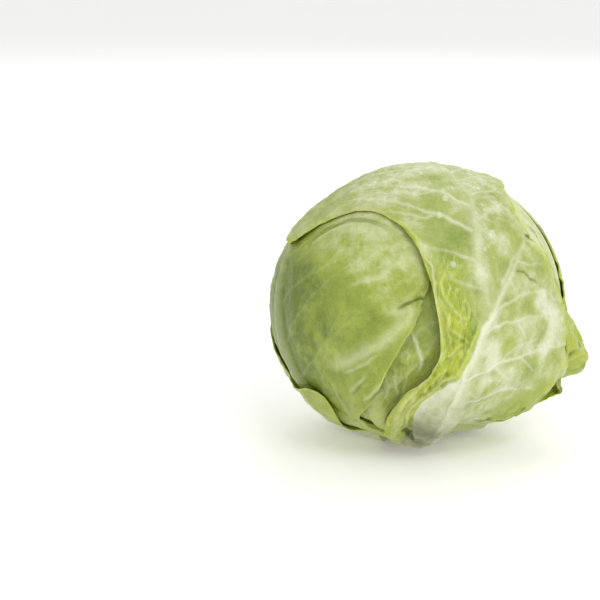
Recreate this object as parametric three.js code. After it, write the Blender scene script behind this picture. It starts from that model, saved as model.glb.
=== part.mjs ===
import * as THREE from 'three';

// A round, dense cabbage head lying a little over on its base: a solid inner head with a
// cut stem in it, and eight wrapper leaves laid over one another, each one closed blade.
// Lengths are millimetres. Directions from the middle of the head are degrees, before it
// leans: azimuth 0 is the front (-Y) and 90 the right (+X), latitude -90 is the stem.

// Driving sizes of the head
const GIRTH_RADIUS = 82.6;
const POLE_RADIUS = 78.2;
const BLADE = 1.2;
const LAYER_GAP = 0.8;
const BASE_HOLLOW = { azimuth: 180, latitude: -80, depth: 12, spread: 26 };
const STEM = { radius: 12.4, faceDepth: 76.6, socketDepth: 57, bevel: 1.2, gap: 0.4 };

// How the head lies: its stem is turned up towards the front, its weight on a flat spot
const LEAN = 16;
const REST_DEPTH = 79.4;
const REST_CUT = 1.7;
const PRESS_DEPTH = REST_DEPTH + REST_CUT + LAYER_GAP;
const PRESS_BLEND = 3;

// How softly a leaf drapes over the margin of one beneath it, in degrees past that margin
const DRAPE = { start: 2, end: 13, ribWidth: 7 };
// Where a leaf beneath another is free to lift, in degrees past the other's margin
const FREE = { start: 3.5, end: 10 };

// Broad bumps and dents of the ball: azimuth, latitude, rise in mm, spread in degrees
const SWELLS = [
  [-78, 52, -3.6, 24],
  [88, 60, 1.2, 15],
  [88, -27, 6.5, 16],
  [88, -64, -6, 13],
  [-82, -48, -4, 16],
  [-80, -68, -8.4, 15],
  [42, -68, -4.6, 16],
  [-40, -12, 1.6, 30],
  [30, 20, 1.2, 25],
  [170, 30, 1.5, 35],
  [-140, 5, -1.5, 28],
];

// The midrib of a leaf along its length: degrees from the stem, half-width, height
const OUTER_RIB = [
  [11, 9.4, 7.2], [28, 9, 7], [45, 7.6, 5.4], [62, 6.2, 3.8], [80, 5, 2.4],
  [105, 4, 1.4], [140, 2.6, 0.8], [235, 1.4, 0.3],
];
const INNER_RIB = [
  [11, 8.4, 4.2], [35, 7, 3.8], [60, 4.4, 2.6], [90, 2.8, 1.4], [130, 1.8, 0.7], [170, 1, 0.3],
];
const SHORT_RIB = [
  [11, 8, 4.4], [40, 6.4, 3.6], [58, 4.4, 2.2], [76, 3, 0.9], [92, 2.6, 0.3], [104, 2.4, 0.2],
];

// The sway of a midrib that runs straight
const STRAIGHT = [[0, 0], [360, 0]];

// The wrapper leaves, innermost first. spine is the azimuth of the midrib and sway its wander
// to the side. left and right are the half-widths along it, seen from outside with the stem
// down. tip is where the blade ends at the midrib, and tipDrop how much sooner at its corners.
// A curl lifts a margin: its side, the share of the half-width it starts at, mm along the midrib.
// A ridge is a straight fold: from azimuth, latitude to azimuth, latitude, height in mm, spread.
const LEAVES = [
  {
    name: 'leaf_front_inner', spine: -22, base: 12.5, tip: 108, tipDrop: 16, rib: SHORT_RIB, sway: STRAIGHT,
    left: [[12.5, 9], [30, 20], [55, 26], [108, 26]],
    right: [[12.5, 9], [24, 20], [40, 36], [60, 42], [108, 44]],
    curls: [],
    ridges: [[-16, -34, 0, -16, 1.4, 4]],
    wave: { size: 0.4, length: 31, start: 20 },
    rows: 16, columns: 14, color: 0x93a85a,
  },
  {
    name: 'leaf_right_inner', spine: 75, base: 16, tip: 168, tipDrop: 26, rib: INNER_RIB, sway: STRAIGHT,
    left: [[16, 9], [30, 24], [60, 38], [120, 42], [168, 36]],
    right: [[16, 9], [30, 24], [60, 38], [120, 40], [168, 34]],
    curls: [],
    ridges: [],
    wave: { size: 0.3, length: 37, start: 80 },
    rows: 18, columns: 12, color: 0xd0d3a0,
  },
  {
    name: 'leaf_back_inner', spine: -145, base: 17, tip: 138, tipDrop: 24, rib: INNER_RIB, sway: STRAIGHT,
    left: [[17, 9], [30, 22], [60, 38], [138, 36]],
    right: [[17, 9], [30, 22], [60, 38], [138, 36]],
    curls: [],
    ridges: [],
    wave: { size: 0.5, length: 33, start: 10 },
    rows: 14, columns: 12, color: 0xa9b877,
  },
  {
    name: 'leaf_left', spine: -65, base: 12, tip: 172, tipDrop: 28, rib: OUTER_RIB, sway: STRAIGHT,
    left: [[12, 9], [24, 20], [38, 40], [64, 54], [104, 58], [172, 50]],
    right: [
      [12, 8], [28, 9], [35, 19], [41, 36], [48, 46], [56, 55], [66, 63], [84, 68], [110, 71], [172, 64],
    ],
    curls: [{ side: 1, from: 0.84, lift: [[36, 0], [44, 3.4], [60, 4.4], [78, 4], [90, 2], [98, 0]] }],
    ridges: [
      [-22, -23, 3, -2, 4, 4.2], [-36, -40, -18, -31, 2, 4],
      [-34, 13, -6, 20, 1, 7], [-50, -8, -22, 1, 1, 7],
    ],
    wave: { size: 0.4, length: 29, start: 140 },
    rows: 26, columns: 22, color: 0x8fa14f,
  },
  {
    name: 'leaf_right_outer', spine: 125, base: 12, tip: 152, tipDrop: 24, rib: OUTER_RIB, sway: STRAIGHT,
    left: [[12, 9], [24, 16], [46, 18], [57, 19], [62, 33], [68, 44], [92, 51], [152, 52]],
    right: [[12, 9], [24, 20], [40, 42], [70, 48], [110, 46], [152, 40]],
    curls: [{ side: 1, from: 0.86, lift: [[50, 0], [80, 2], [152, 1.6]] }],
    ridges: [[98, -29, 95, -20, 13.5, 9.5], [94, -12, 91, 8, 3.4, 8], [122, 0, 100, 24, 1.5, 6]],
    wave: { size: 0.6, length: 23, start: 90 },
    rows: 26, columns: 18, color: 0xb3be5c,
  },
  {
    name: 'leaf_front', spine: 23, base: 11.5, tip: 232, tipDrop: 34, rib: OUTER_RIB,
    sway: [[12, 0], [37, -3.5], [58, -3], [72, 0], [86, 3.5], [102, 0.5], [130, 1], [232, 0]],
    left: [
      [11.5, 13], [22, 20.5], [36, 23.4], [50, 21.4], [62, 15], [70, 13], [86, 16], [106, 21],
      [122, 27.5], [136, 38], [145, 52], [161, 68], [190, 70], [232, 64],
    ],
    right: [
      [11.5, 9], [18, 12], [24, 27], [33, 45], [44, 55], [52, 54], [60, 50], [76, 48], [92, 45],
      [104, 37], [116, 27], [126, 24], [152, 27], [200, 45], [232, 50],
    ],
    curls: [
      {
        side: -1,
        from: 0.5,
        lift: [[40, 0], [54, 2.4], [72, 3], [92, 3], [108, 1.8], [122, 0.6], [134, 0], [232, 0]],
      },
      { side: 1, from: 0.9, lift: [[60, 0.4], [112, 1.4], [150, 1.2], [180, 0]] },
    ],
    ridges: [
      [8, 3, 18, -8, 1.6, 4.5], [18, -14, 14, -30, 1.5, 4.5], [8, -24, -6, -40, 2.4, 4],
      [-8, -44, -14, -66, 1.6, 4], [25, 2, 27, 42, 1.2, 6], [32, -22, 60, -4, 1.5, 4],
      [31, -35, 60, -22, 1.7, 5], [28, -48, 48, -40, 1.7, 5], [42, 10, 60, 20, 1.4, 5],
    ],
    wave: { size: 0.4, length: 25, start: 60 },
    rows: 42, columns: 26, color: 0xbcc789,
  },
  {
    name: 'leaf_left_outer', spine: -115, base: 12, tip: 94, tipDrop: 20, rib: OUTER_RIB, sway: STRAIGHT,
    left: [[12, 9], [24, 20], [40, 38], [70, 42], [94, 36]],
    right: [[12, 9], [18, 22], [22, 38], [28, 46], [36, 46], [44, 40], [56, 32], [75, 26], [94, 26]],
    curls: [
      { side: 1, from: 0.82, lift: [[18, 0], [28, 1], [45, 1.8], [64, 0.8], [94, 0.8]] },
      { side: -1, from: 0.85, lift: [[40, 0], [60, 1.4], [94, 1.6]] },
    ],
    ridges: [[-112, -20, -135, 2, 1.4, 6]],
    wave: { size: 0.7, length: 27, start: 30 },
    rows: 20, columns: 16, color: 0x8c9c4c,
  },
  {
    name: 'leaf_back', spine: 177, base: 10.6, tip: 158, tipDrop: 26, rib: OUTER_RIB, sway: STRAIGHT,
    left: [[12, 9], [24, 20], [42, 42], [80, 50], [158, 42]],
    right: [[12, 9], [24, 20], [42, 42], [80, 50], [158, 42]],
    curls: [
      { side: -1, from: 0.85, lift: [[60, 0], [90, 2], [158, 2]] },
      { side: 1, from: 0.85, lift: [[60, 0], [90, 1.4], [158, 2]] },
    ],
    ridges: [[182, 10, 150, 36, 1.4, 6], [188, -14, 218, 8, 1.4, 6]],
    wave: { size: 0.7, length: 34, start: 200 },
    rows: 24, columns: 18, color: 0xb4c078,
  },
];

// The three leaf edges that show as steps on the inner head: spine, tip, half-width
const INNER_EDGES = [[-100, 150, 46], [60, 140, 44], [165, 128, 42]];
const INNER_STEP = 1.3;
const INNER_CLEARANCE = 1.2;
const SOCKET_RIM_LATITUDE = -79;
// How much closer the grid lines of a leaf lie at its midrib and its base
const RIB_CROWDING = 1.25;
const BASE_CROWDING = 1.12;
const INNER_HEAD_GRID = { rings: 16, sectors: 28, lastRing: 15 };

const RAD = Math.PI / 180;

function clamp01(x) {
  return Math.min(1, Math.max(0, x));
}

function smoothStep(from, to, x) {
  const t = clamp01((x - from) / (to - from));
  return t * t * (3 - 2 * t);
}

function smoothMin(a, b, blend) {
  const h = clamp01(0.5 + (0.5 * (b - a)) / blend);
  return b + (a - b) * h - blend * h * (1 - h);
}

// A smooth curve through [x, y, ...] rows, read at x in the given column
function along(rows, x, column = 1) {
  const last = rows.length - 1;
  if (x <= rows[0][0]) return rows[0][column];
  if (x >= rows[last][0]) return rows[last][column];
  let i = 0;
  while (x > rows[i + 1][0]) i += 1;
  const slope = (k) => {
    const a = rows[Math.max(k - 1, 0)];
    const b = rows[Math.min(k + 1, last)];
    return (b[column] - a[column]) / (b[0] - a[0]);
  };
  const span = rows[i + 1][0] - rows[i][0];
  const t = (x - rows[i][0]) / span;
  const rise = rows[i + 1][column] - rows[i][column];
  const a = slope(i) * span - rise;
  const b = rise - slope(i + 1) * span;
  return rows[i][column] + rise * t + t * (1 - t) * (a * (1 - t) + b * t);
}

function direction(azimuth, latitude) {
  const level = Math.cos(latitude * RAD);
  return new THREE.Vector3(
    level * Math.sin(azimuth * RAD),
    -level * Math.cos(azimuth * RAD),
    Math.sin(latitude * RAD),
  );
}

function degreesBetween(a, b) {
  return Math.acos(THREE.MathUtils.clamp(a.dot(b), -1, 1)) / RAD;
}

// The direction at `length` degrees from the stem along a leaf and `side` degrees off its midrib
function leafDirection(spine, length, side) {
  const across = Math.sin(side * RAD);
  const forward = Math.cos(side * RAD) * Math.sin(length * RAD);
  const s = Math.sin(spine * RAD);
  const c = Math.cos(spine * RAD);
  return new THREE.Vector3(
    forward * s + across * c,
    -forward * c + across * s,
    -Math.cos(side * RAD) * Math.cos(length * RAD),
  );
}

// The reverse: where a direction falls on a leaf
function leafPlace(spine, d) {
  const s = Math.sin(spine * RAD);
  const c = Math.cos(spine * RAD);
  const across = d.x * c + d.y * s;
  const forward = d.x * s - d.y * c;
  const length = Math.atan2(forward, -d.z) / RAD;
  return {
    length: length < 0 ? length + 360 : length,
    side: Math.asin(THREE.MathUtils.clamp(across, -1, 1)) / RAD,
  };
}

function halfWidth(leaf, side, length) {
  return along(side < 0 ? leaf.left : leaf.right, length);
}

function tipLength(leaf, share) {
  return leaf.tip - leaf.tipDrop * Math.abs(share) ** 2.6;
}

// Degrees from a direction to a leaf's margin: negative on the leaf
function pastMargin(leaf, d) {
  const { length, side } = leafPlace(leaf.spine, d);
  const width = halfWidth(leaf, side, length);
  const level = Math.max(0.2, Math.cos(side * RAD));
  const slope = (halfWidth(leaf, side, length + 1) - halfWidth(leaf, side, length - 1)) / 2 / level;
  const widest = Math.max(...(side < 0 ? leaf.left : leaf.right).map((row) => row[1]));
  const pastSide = Math.max((Math.abs(side) - width) / Math.hypot(1, slope), Math.abs(side) - widest);
  const share = clamp01(Math.abs(side) / width);
  const tipSlope = (leaf.tipDrop * 2.6 * share ** 1.6 * level) / width;
  const pastTip = ((length - tipLength(leaf, share)) * level) / Math.hypot(1, tipSlope);
  const beforeBase = (leaf.base - length) * level;
  return Math.max(pastSide, pastTip, beforeBase);
}

function ribAt(leaf, length) {
  return {
    width: along(leaf.rib, length, 1),
    height: along(leaf.rib, length, 2),
    middle: along(leaf.sway, length),
  };
}

// The thickness of a leaf at a place on it
function thickness(leaf, length, side) {
  const { width, height, middle } = ribAt(leaf, length);
  const off = clamp01(Math.abs(side - middle) / width);
  return BLADE + height * (1 - off * off) ** 1.1;
}

// The room a leaf takes under the ones that cover it: its blade and a broader midrib
function room(leaf, d) {
  const cover = 1 - smoothStep(DRAPE.start, DRAPE.end, pastMargin(leaf, d));
  if (cover === 0) return 0;
  const { length, side } = leafPlace(leaf.spine, d);
  const { width, height, middle } = ribAt(leaf, length);
  const off = (side - middle) / Math.max(width, DRAPE.ribWidth);
  const dome = height * Math.exp(-0.65 * off ** 2);
  return cover * (BLADE + dome + LAYER_GAP);
}

function swollenBall(d) {
  let radius = 1 / Math.hypot(d.x / GIRTH_RADIUS, d.y / GIRTH_RADIUS, d.z / POLE_RADIUS);
  for (const [azimuth, latitude, rise, spread] of SWELLS) {
    radius += rise * Math.exp(-((degreesBetween(d, direction(azimuth, latitude)) / spread) ** 2));
  }
  const offHollow = degreesBetween(d, direction(BASE_HOLLOW.azimuth, BASE_HOLLOW.latitude));
  return radius - BASE_HOLLOW.depth * Math.exp(-((offHollow / BASE_HOLLOW.spread) ** 2));
}

// How far down a direction points once the head lies in its leaning pose
function downward(d) {
  return d.y * Math.sin(LEAN * RAD) - d.z * Math.cos(LEAN * RAD);
}

// The radius of the ball under all the wrapper leaves, pressed in where they rest
function ballRadius(d) {
  const free = swollenBall(d);
  const down = downward(d);
  if (down < 0.5) return free;
  const stack = LEAVES.reduce((sum, leaf) => sum + room(leaf, d), 0);
  return smoothMin(free, PRESS_DEPTH / down - stack, PRESS_BLEND);
}

// The radius of a leaf's inner face
function bedRadius(layer, d) {
  return LEAVES.slice(0, layer).reduce((sum, leaf) => sum + room(leaf, d), ballRadius(d));
}

// 1 where no outer leaf lies on this one, 0 beneath one
function freedom(layer, d) {
  return LEAVES.slice(layer + 1).reduce(
    (share, leaf) => share * smoothStep(FREE.start, FREE.end, pastMargin(leaf, d)),
    1,
  );
}

// Height of a straight fold at a direction
function foldHeight([azimuthA, latitudeA, azimuthB, latitudeB, height, spread], d) {
  const a = direction(azimuthA, latitudeA);
  const span = direction(azimuthB, latitudeB).sub(a);
  const t = clamp01(d.clone().sub(a).dot(span) / span.lengthSq());
  const nearest = a.addScaledVector(span, t).normalize();
  return height * Math.exp(-((degreesBetween(d, nearest) / spread) ** 2));
}

// How far a leaf stands off its bed: its curled margins, folds and waves
function lift(layer, length, side, d) {
  const leaf = LEAVES[layer];
  const share = Math.abs(side) / halfWidth(leaf, side, length);
  let height = 0;
  for (const curl of leaf.curls) {
    if (side * curl.side > 0) {
      height += along(curl.lift, length) * smoothStep(curl.from, 1.04, share);
    }
  }
  for (const ridge of leaf.ridges) {
    height += foldHeight(ridge, d);
  }
  const { size, length: waveLength, start } = leaf.wave;
  const turn = (360 / waveLength) * (length + 0.5 * side) + start;
  height += size * share ** 2 * (1 + Math.sin(turn * RAD));
  return height * freedom(layer, d);
}

// The outer surface stops at the plane that the head rests on
function restLimit(d) {
  const down = downward(d);
  return down > 0 ? REST_DEPTH / down : Infinity;
}

function solidOf(points, triangles) {
  const geometry = new THREE.BufferGeometry();
  const numbers = points.flatMap((p) => p.toArray());
  geometry.setAttribute('position', new THREE.Float32BufferAttribute(numbers, 3));
  geometry.setIndex(triangles.flat());
  geometry.computeVertexNormals();
  return geometry;
}

// A closed blade: a grid of points on its inner and outer face, split alike, with a rim
function leafGeometry(layer) {
  const leaf = LEAVES[layer];
  const points = [];
  const across = leaf.columns + 1;
  const faceSize = (leaf.rows + 1) * across;
  for (const outside of [false, true]) {
    for (let i = 0; i <= leaf.rows; i += 1) {
      for (let j = 0; j <= leaf.columns; j += 1) {
        const even = (2 * j) / leaf.columns - 1;
        const share = Math.sign(even) * Math.abs(even) ** RIB_CROWDING;
        const length = leaf.base + (tipLength(leaf, share) - leaf.base) * (i / leaf.rows) ** BASE_CROWDING;
        const side = share * halfWidth(leaf, share, length);
        const d = leafDirection(leaf.spine, length, side);
        const bed = bedRadius(layer, d);
        const thick = thickness(leaf, length, side);
        const headroom = Math.max(0, restLimit(d) - bed - thick);
        const inner = bed + Math.min(lift(layer, length, side, d), headroom);
        const outer = Math.min(inner + thick, restLimit(d));
        points.push(d.multiplyScalar(outside ? outer : inner));
      }
    }
  }
  const triangles = [];
  const at = (i, j, outside) => i * across + j + (outside ? faceSize : 0);
  for (let i = 0; i < leaf.rows; i += 1) {
    for (let j = 0; j < leaf.columns; j += 1) {
      const [a, b, c, e] = [at(i, j), at(i, j + 1), at(i + 1, j + 1), at(i + 1, j)];
      const halves = j < leaf.columns / 2 ? [[a, b, e], [b, c, e]] : [[a, b, c], [a, c, e]];
      for (const [p, q, r] of halves) {
        triangles.push([p, r, q], [p + faceSize, q + faceSize, r + faceSize]);
      }
    }
  }
  const rim = [];
  for (let j = 0; j < leaf.columns; j += 1) rim.push(at(0, j));
  for (let i = 0; i < leaf.rows; i += 1) rim.push(at(i, leaf.columns));
  for (let j = leaf.columns; j > 0; j -= 1) rim.push(at(leaf.rows, j));
  for (let i = leaf.rows; i > 0; i -= 1) rim.push(at(i, 0));
  rim.forEach((a, k) => {
    const b = rim[(k + 1) % rim.length];
    triangles.push([a, b, b + faceSize], [a, b + faceSize, a + faceSize]);
  });
  return solidOf(points, triangles);
}

// The dense inner head: a ball with three leaf edges on it and a socket for the stem
function innerHeadGeometry() {
  const { rings, sectors, lastRing } = INNER_HEAD_GRID;
  const socketRadius = STEM.radius + STEM.gap;
  const points = [new THREE.Vector3(0, 0, ballRadius(direction(0, 90)) - INNER_CLEARANCE)];
  for (let i = 1; i <= rings; i += 1) {
    const latitude = 90 - (i * (180 - lastRing)) / rings;
    for (let j = 0; j < sectors; j += 1) {
      const d = direction((360 * j) / sectors, latitude);
      const edges = INNER_EDGES.filter(([spine, tip, width]) => {
        const { length, side } = leafPlace(spine, d);
        return length < tip && Math.abs(side) < width;
      });
      const step = INNER_STEP * (1 - Math.min(1, edges.length));
      points.push(d.clone().multiplyScalar(ballRadius(d) - INNER_CLEARANCE - step));
    }
  }
  for (const atRim of [true, false]) {
    for (let j = 0; j < sectors; j += 1) {
      const turn = (360 * j) / sectors;
      const rim = ballRadius(direction(turn, SOCKET_RIM_LATITUDE)) - INNER_CLEARANCE;
      const depth = atRim ? rim * Math.cos((90 + SOCKET_RIM_LATITUDE) * RAD) : STEM.socketDepth;
      const side = direction(turn, 0).multiplyScalar(socketRadius);
      points.push(side.setZ(-depth));
    }
  }
  points.push(new THREE.Vector3(0, 0, -STEM.socketDepth));
  const triangles = [];
  const total = rings + 2;
  const at = (i, j) => 1 + (i - 1) * sectors + (j % sectors);
  for (let j = 0; j < sectors; j += 1) {
    triangles.push([0, at(1, j), at(1, j + 1)]);
    for (let i = 1; i < total; i += 1) {
      triangles.push([at(i, j), at(i + 1, j), at(i + 1, j + 1)]);
      triangles.push([at(i, j), at(i + 1, j + 1), at(i, j + 1)]);
    }
    triangles.push([at(total, j), points.length - 1, at(total, j + 1)]);
  }
  return solidOf(points, triangles);
}

// The cut stem: a short round plug with a bevelled cut face, its top in the socket
function stemGeometry() {
  const top = -STEM.socketDepth - STEM.gap;
  const face = -STEM.faceDepth;
  const profile = [
    new THREE.Vector2(0, face),
    new THREE.Vector2(STEM.radius - STEM.bevel, face),
    new THREE.Vector2(STEM.radius, face + STEM.bevel),
    new THREE.Vector2(STEM.radius, top),
    new THREE.Vector2(0, top),
  ];
  const geometry = new THREE.LatheGeometry(profile, 32);
  geometry.rotateX(Math.PI / 2);
  return geometry;
}

function material(color, roughness) {
  return new THREE.MeshStandardMaterial({ color, roughness, metalness: 0 });
}

function namedMesh(name, geometry, surface) {
  const mesh = new THREE.Mesh(geometry, surface);
  mesh.name = name;
  return mesh;
}

const head = new THREE.Group();
head.add(namedMesh('cut_stem', stemGeometry(), material(0xd8d2ae, 0.7)));
head.add(namedMesh('inner_head', innerHeadGeometry(), material(0xd9dcab, 0.5)));
LEAVES.forEach((leaf, layer) => {
  head.add(namedMesh(leaf.name, leafGeometry(layer), material(leaf.color, 0.45)));
});
head.rotation.x = -LEAN * RAD;

// The origin is on the resting plane, under the middle of the whole head
const cabbage = new THREE.Group();
cabbage.add(head);
cabbage.updateMatrixWorld(true);
const middle = new THREE.Box3().setFromObject(cabbage, true).getCenter(new THREE.Vector3());
head.position.set(-middle.x, -middle.y, REST_DEPTH);

export default cabbage;
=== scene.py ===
"""A round cabbage head: fine leaves with veins, folds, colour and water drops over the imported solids."""

import logging
import math
from dataclasses import dataclass, field
from enum import Enum, IntEnum
from typing import Iterable, Mapping, Optional, Sequence

import bpy
import numpy as np
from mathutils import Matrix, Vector


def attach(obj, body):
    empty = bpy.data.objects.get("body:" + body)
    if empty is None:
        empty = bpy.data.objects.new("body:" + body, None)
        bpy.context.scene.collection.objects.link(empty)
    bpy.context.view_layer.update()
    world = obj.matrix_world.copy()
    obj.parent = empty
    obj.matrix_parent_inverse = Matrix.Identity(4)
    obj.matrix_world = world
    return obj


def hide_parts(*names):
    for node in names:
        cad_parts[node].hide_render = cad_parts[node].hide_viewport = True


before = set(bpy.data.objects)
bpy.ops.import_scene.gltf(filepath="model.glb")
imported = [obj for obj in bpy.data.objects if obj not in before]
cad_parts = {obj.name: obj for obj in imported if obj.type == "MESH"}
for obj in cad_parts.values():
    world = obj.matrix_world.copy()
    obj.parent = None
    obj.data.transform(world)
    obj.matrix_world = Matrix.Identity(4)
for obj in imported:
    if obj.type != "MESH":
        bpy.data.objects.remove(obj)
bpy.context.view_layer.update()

log = logging.getLogger("cabbage")

Rows = Sequence[Sequence[float]]
Colour = tuple[float, float, float]
Place = tuple[float, float]

RAD = math.pi / 180
MM = 0.001
ROOT = "root"
# The middle of the head in the row frame, and its lean, as in the part's source
HEAD_CENTRE = np.array([-5.905, -0.095, 79.4])
LEAN = 16.0
# Millimetres on the leaves for each degree round the head
MM_PER_DEGREE = 1.48


class Side(Enum):
    """Which half of a leaf, seen from outside with the stem down."""

    LEFT = -1
    RIGHT = 1


class Grain(IntEnum):
    """The seed of each noise; where leaves differ, the leaf's number is added."""

    STEM = 3
    HEART_FORM = 7
    HEART_TONE = 8
    PUFF = 11
    BEND = 31
    CRUMPLE = 51
    FINE_CRUMPLE = 53
    RUFFLE = 71
    TONE = 91
    PITS = 131
    BLISTERS = 151
    WANDER = 200
    FINE_WANDER = 210
    RAGGED = 230
    OUTLINE = 500


# ---------- numbers over many points at once ----------


def smooth_step(low: float, high: float, x: np.ndarray) -> np.ndarray:
    """A soft step from 0 at low to 1 at high.

    Args:
        low: where it leaves 0.
        high: where it reaches 1.
        x: the values to read it at.

    Returns:
        The step at each value.
    """
    t = np.clip((x - low) / (high - low), 0.0, 1.0)
    return t * t * (3.0 - 2.0 * t)


def smooth_min(a: np.ndarray, b: np.ndarray, blend: float) -> np.ndarray:
    """The lower of two heights with their crossing rounded.

    Args:
        a: first heights.
        b: second heights.
        blend: how wide the rounding is.

    Returns:
        The rounded minimum.
    """
    h = np.clip(0.5 + 0.5 * (b - a) / blend, 0.0, 1.0)
    return b + (a - b) * h - blend * h * (1.0 - h)


def along(rows: Rows, x: np.ndarray, column: int = 1) -> np.ndarray:
    """Reads a smooth curve through rows of numbers.

    Args:
        rows: rows of x and the values there.
        x: where to read.
        column: which value of the rows.

    Returns:
        The value at each x, level beyond the first and last row.
    """
    table = np.asarray(rows, dtype=float)
    xs, ys = table[:, 0], table[:, column]
    last = len(xs) - 1
    before, after = np.maximum(np.arange(last + 1) - 1, 0), np.minimum(np.arange(last + 1) + 1, last)
    slopes = (ys[after] - ys[before]) / (xs[after] - xs[before])
    i = np.clip(np.searchsorted(xs, x, side="left") - 1, 0, last - 1)
    span = xs[i + 1] - xs[i]
    t = np.clip((x - xs[i]) / span, 0.0, 1.0)
    rise = ys[i + 1] - ys[i]
    a = slopes[i] * span - rise
    b = rise - slopes[i + 1] * span
    return ys[i] + rise * t + t * (1.0 - t) * (a * (1.0 - t) + b * t)


def direction(azimuth: np.ndarray | float, latitude: np.ndarray | float) -> np.ndarray:
    """Unit vectors from the middle of the head, before it leans.

    Args:
        azimuth: degrees round it, 0 at the front and 90 at the right.
        latitude: degrees up from its girth, -90 at the stem.

    Returns:
        One row of three numbers for each place.
    """
    az, lat = np.asarray(azimuth, float) * RAD, np.asarray(latitude, float) * RAD
    return np.stack([np.cos(lat) * np.sin(az), -np.cos(lat) * np.cos(az), np.sin(lat)], axis=-1)


def degrees_between(d: np.ndarray, other: np.ndarray) -> np.ndarray:
    """Angles in degrees between unit vectors and one other."""
    return np.degrees(np.arccos(np.clip(d @ other, -1.0, 1.0)))


def leaf_direction(spine: float, length: np.ndarray, side: np.ndarray) -> np.ndarray:
    """The direction at a length from the stem and a side off the midrib of a leaf.

    Args:
        spine: azimuth of the midrib.
        length: degrees from the stem.
        side: degrees off the midrib.

    Returns:
        Unit vectors, one row for each place.
    """
    across, forward = np.sin(side * RAD), np.cos(side * RAD) * np.sin(length * RAD)
    s, c = math.sin(spine * RAD), math.cos(spine * RAD)
    down = np.cos(side * RAD) * np.cos(length * RAD)
    return np.stack([forward * s + across * c, -forward * c + across * s, -down], axis=-1)


def leaf_place(spine: float, d: np.ndarray) -> tuple[np.ndarray, np.ndarray]:
    """Where directions fall on a leaf.

    Args:
        spine: azimuth of the midrib.
        d: unit vectors.

    Returns:
        Their lengths from the stem and sides off the midrib, in degrees.
    """
    s, c = math.sin(spine * RAD), math.cos(spine * RAD)
    across = d[:, 0] * c + d[:, 1] * s
    forward = d[:, 0] * s - d[:, 1] * c
    length = np.degrees(np.arctan2(forward, -d[:, 2])) % 360.0
    return length, np.degrees(np.arcsin(np.clip(across, -1.0, 1.0)))


class Noise:
    """Smooth noise over space, the same on every run."""

    def __init__(self, seed: int) -> None:
        """Draws the table of gradients.

        Args:
            seed: which noise.
        """
        rng = np.random.default_rng(seed)
        self.order = rng.permutation(256)
        gradients = rng.normal(size=(256, 3))
        self.gradients = gradients / np.linalg.norm(gradients, axis=1, keepdims=True)

    def at(self, p: np.ndarray) -> np.ndarray:
        """Noise from about -1 to 1.

        Args:
            p: points, one a row; the noise turns over about once a unit.

        Returns:
            One value for each point.
        """
        cell = np.floor(p).astype(np.int64)
        f = p - cell
        fade = f * f * f * (f * (f * 6.0 - 15.0) + 10.0)
        total = np.zeros(len(p))
        for corner in range(8):
            step = np.array([corner & 1, corner >> 1 & 1, corner >> 2 & 1])
            x, y, z = ((cell + step) & 255).T
            grad = self.gradients[self.order[(self.order[(self.order[x] + y) & 255] + z) & 255]]
            weight = np.prod(np.where(step == 1, fade, 1.0 - fade), axis=1)
            total += weight * np.einsum("ij,ij->i", grad, f - step)
        return total * 1.6

    def layers(self, p: np.ndarray, count: int = 3, gain: float = 0.5) -> np.ndarray:
        """Several sizes of noise on top of one another.

        Args:
            p: points, one a row.
            count: how many sizes, each half the last.
            gain: how much weaker each is.

        Returns:
            One value for each point.
        """
        return sum(gain**k * self.at(p * 2.0**k + 17.3 * k) for k in range(count))


# ---------- the head's form, as the part's source gives it ----------


@dataclass(frozen=True)
class Curl:
    """A margin that lifts: which one, the share of the half-width it starts at, mm along it."""

    side: Side
    start: float
    lift: Rows


@dataclass(frozen=True)
class Wave:
    """Waves along a leaf that grow towards its margins: size in mm, length and start in degrees."""

    size: float
    length: float
    start: float


@dataclass(frozen=True)
class LeafPlan:
    """One wrapper leaf: its midrib's azimuth, outline in degrees, rib, curls, folds and waves."""

    name: str
    spine: float
    base: float
    tip: float
    tip_drop: float
    rib: Rows
    left: Rows
    right: Rows
    wave: Wave
    sway: Rows = ((0, 0), (360, 0))
    curls: tuple[Curl, ...] = ()
    ridges: tuple[tuple[float, ...], ...] = ()

    def half_width(self, side: np.ndarray, length: np.ndarray) -> np.ndarray:
        """Degrees from the midrib to the margin on the given side at each length."""
        return np.where(side < 0, along(self.left, length), along(self.right, length))

    def widest(self, side: np.ndarray) -> np.ndarray:
        """The largest half-width on the given side."""
        reach = [max(row[1] for row in rows) for rows in (self.left, self.right)]
        return np.where(side < 0, reach[0], reach[1])

    def tip_length(self, share: np.ndarray) -> np.ndarray:
        """Where the blade ends at a share of its half-width."""
        return self.tip - self.tip_drop * np.abs(share) ** 2.6

    def past_margin(self, d: np.ndarray) -> np.ndarray:
        """Degrees from directions to the margin, negative on the leaf.

        Args:
            d: unit vectors.

        Returns:
            One distance for each.
        """
        length, side = leaf_place(self.spine, d)
        width = self.half_width(side, length)
        level = np.maximum(0.2, np.cos(side * RAD))
        slope = (self.half_width(side, length + 1) - self.half_width(side, length - 1)) / 2 / level
        past_side = (np.abs(side) - width) / np.hypot(1, slope)
        past_side = np.maximum(past_side, np.abs(side) - self.widest(side))
        share = np.clip(np.abs(side) / width, 0, 1)
        tip_slope = self.tip_drop * 2.6 * share**1.6 * level / width
        past_tip = (length - self.tip_length(share)) * level / np.hypot(1, tip_slope)
        return np.maximum(np.maximum(past_side, past_tip), (self.base - length) * level)


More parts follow.
